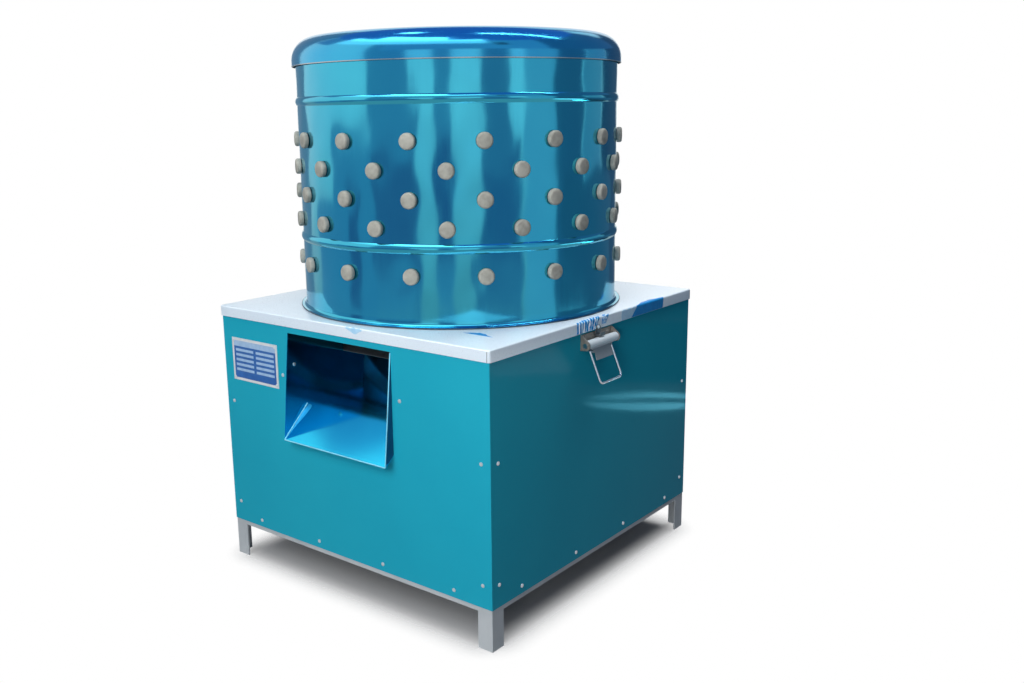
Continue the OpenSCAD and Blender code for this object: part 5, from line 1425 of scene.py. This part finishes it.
    def flags(self) -> None:
        """Hang the dark flags: tall ones that band the drum, low ones, a high band, a ceiling and a floor."""
        short_in, dark_in, high_in, spot_in = 0.05, 0.07, 0.1, 0.15
        foot, low, high, top = FLAG_FOOT, self.low_flag_h, self.high_flag_z, FLAG_TOP
        flags = (
            ("flag_far_left", "#7f95a8", self.ring(154, 182)),
            ("flag_left", "#8aa5bd", self.ring(-110, -82)),
            ("flag_front_left", "#8aa5bd", self.ring(-65, -54)),
            ("flag_front", "#7a91aa", self.ring(-35, -17)),
            ("flag_front_right", "#b0c4d3", self.ring(-7, 17)),
            ("flag_right", "#5a728a", self.ring(17, 42)),
            ("flag_far_right", "#8fa5b5", self.ring(43, 65)),
            ("flag_back_right", "#42586f", self.ring(66, 104)),
            ("flag_low_far", "#86a3bd", self.ring(-164, -144, foot, 0.5, short_in)),
            ("flag_low_left", "#86a3bd", self.ring(-144, -108, foot, 0.78, short_in)),
            ("flag_low_edge", "#7f9ab4", self.ring(-82, -76.5, foot, 0.92, short_in)),
            ("flag_low_front", "#7a91aa", self.ring(-41, -35, foot, 0.28, short_in)),
            ("flag_low_wide", "#7a91aa", self.ring(-17, -9, foot, 0.76, short_in)),
            ("flag_low_right", "#546e84", self.ring(22, 84, foot, low, short_in)),
            ("flag_dark_left", "#69769a", self.ring(-131, -121, 0.12, 0.54, dark_in)),
            ("flag_dark_front", "#6f7c9e", self.ring(-109, -78, 0.26, 0.7, dark_in)),
            ("flag_dark_mid", "#66759a", self.ring(-65, -55, 0.3, 0.74, dark_in)),
            ("flag_dark_right", "#65799a", self.ring(-34, -11, 0.3, 0.64, dark_in)),
            ("flag_high_left", "#8aa3c2", self.ring(-176, -154, 2.37, 3.3, high_in)),
            ("flag_high_left_edge", "#b9cde0", self.ring(-154, -152.6, 2.45, 3.3, high_in)),
            ("flag_high_front", "#97b2cb", self.ring(-100, 12, high, top, high_in)),
            ("flag_high_spot", "#48525f", self.ring(-23.4, -15, 2.2, 2.8, spot_in)),
            ("flag_high_right", "#587291", self.ring(12, 84, high, top, high_in)),
            ("flag_overhead", "#5a7ec2", self.sector(0, 360, 0.01, FLAG_R, top)),
            ("flag_floor", "#3a4c5a", self.sector(46, 58, 1.6, FLAG_R, self.floor_flag_z)),
            ("flag_floor_right", "#3a4c5a", self.sector(58, 84, 1.25, FLAG_R, self.floor_flag_z)),
        )
        for name, colour, points in flags:
            self.flag(name, points, colour)

    def cards(self) -> None:
        """Hang the bright cards: on the floor, over the rim, a tube and two streaks for the right panel."""
        rim_z, tube_z, card_in, streak = FLAG_TOP - 0.1, FLAG_TOP - 0.05, 0.15, "#6fc8e0"
        dash = [[(-0.8, y), (-0.48, y)] for y in (-0.15, -0.45)]
        tube = [(0.5, 0.0), (1.9, 1.7)], [(0.56, -0.04), (1.96, 1.66)]
        streak_far = (
            bow((1.003, 1.012), (0.956, 1.179), (0.789, 1.239)),
            bow((1.003, 1.008), (0.895, 1.117), (0.766, 1.195)),
        )
        streak_near = (
            bow((1.002, 0.966), (0.867, 1.052), (0.743, 1.151)),
            bow((1.002, 0.962), (0.811, 0.944), (0.719, 1.105)),
        )
        cards = (
            ("card_floor", WHITE, 2.0, self.sector(20, 46, 1.75, 2.55, self.floor_flag_z)),
            ("card_rim_peak", WHITE, 4.5, self.sector(-122, -58, 1.3, 1.9, rim_z)),
            ("card_rim_wide", WHITE, 2.4, self.sector(-150, -28, 1.9, 2.45, rim_z)),
            ("card_rim_low", WHITE, 1.5, self.ring(-150, -28, 2.6, rim_z, card_in)),
            ("card_dash", WHITE, 6.0, self.level(*dash, tube_z)),
            ("card_tube", WHITE, 16.0, self.level(*tube, tube_z)),
            ("card_streak_far", streak, 24.0, self.level(*streak_far, self.streak_z)),
            ("card_streak_near", streak, 24.0, self.level(*streak_near, self.streak_z)),
            ("card_back", WHITE, 1.0, self.ring(86, 100, 2.2, 3.2, card_in)),
        )
        for name, colour, strength, points in cards:
            self.flag(name, points, colour, strength)

    def lamp(self, name: str, place: tuple[float, float, float], width: float, watts: float) -> None:
        """Hang a square soft lamp that points at the object's middle and doesn't show in mirrors.

        Args:
            name: Name of the lamp.
            place: Where it hangs, in metres.
            width: Its width, in metres.
            watts: Its power.
        """
        data = bpy.data.lights.new(name, "AREA")
        data.shape = "SQUARE"
        data.size = width
        data.energy = watts
        lamp = bpy.data.objects.new(name, data)
        bpy.context.scene.collection.objects.link(lamp)
        aim = Vector((0, 0, self.aim_z)) - Vector(place)
        lamp.matrix_world = Matrix.Translation(place) @ aim.to_track_quat("-Z", "Y").to_matrix().to_4x4()
        lamp.visible_glossy = False
        lamp.visible_camera = False

    def lamps(self) -> None:
        """Light from the front, from above, from behind, and a little from the right in front."""
        self.lamp("lamp_front", (0.3, -2.5, 1.9), 1.8, 61)
        self.lamp("lamp_overhead", (0.05, -0.4, 3.4), 1.0, 38)
        self.lamp("lamp_behind", (0.42, 1.25, 3.0), 0.8, 52)
        self.lamp("lamp_right", (1.2, -1.85, 0.6), 0.6, 11)

    def camera(self) -> None:
        """Set the camera where the photographer stood."""
        place = Vector((1.26277, -1.51101, 0.87038))
        azimuth, elevation, roll = (math.radians(v) for v in (38.788, 12.181, -0.83))
        focal_pixels = 1013.45
        principal = (480.75, 328.31)
        width, height = IMAGE_SIZE
        back = Vector(
            (
                math.sin(azimuth) * math.cos(elevation),
                -math.cos(azimuth) * math.cos(elevation),
                math.sin(elevation),
            )
        )
        level = Vector((math.cos(azimuth), math.sin(azimuth), 0))
        upright = back.cross(level)
        right = math.cos(roll) * level + math.sin(roll) * upright
        up = -math.sin(roll) * level + math.cos(roll) * upright
        data = bpy.data.cameras.new("camera")
        data.sensor_fit = "HORIZONTAL"
        data.lens = data.sensor_width * focal_pixels / width
        data.shift_x = (width / 2 - principal[0]) / width
        data.shift_y = (principal[1] - height / 2) / width
        camera = bpy.data.objects.new("camera", data)
        bpy.context.scene.collection.objects.link(camera)
        turn = Matrix((right, up, back)).transposed().to_4x4()
        camera.matrix_world = Matrix.Translation(place) @ turn
        bpy.context.scene.camera = camera

    def make(self) -> None:
        """Set up the whole studio."""
        bpy.context.scene.view_settings.view_transform = "Standard"
        self.world()
        self.floor()
        self.flags()
        self.cards()
        self.lamps()
        self.camera()


def clear_start_scene() -> None:
    """Remove the objects that Blender starts with."""
    for name in ("Cube", "Light", "Camera"):
        found = bpy.data.objects.get(name)
        if found:
            bpy.data.objects.remove(found)


def main() -> None:
    """Build the looks piece by piece."""
    logging.basicConfig(level=logging.INFO)
    clear_start_scene()
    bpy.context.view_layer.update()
    dress_frame()
    kind = FingerSet()
    drum = Drum()
    drum.wall()
    drum.rim()
    drum.fingers(kind)
    Rotor().fingers(kind)
    plate = TopPlate()
    plate.make(drum)
    plate.seams()
    FilmRemnants().make()
    DataPlate().make()
    chute = Chute()
    chute.hems()
    chute.fold()
    chute.cheek()
    Studio().make()


if __name__ == "__main__":
    main()
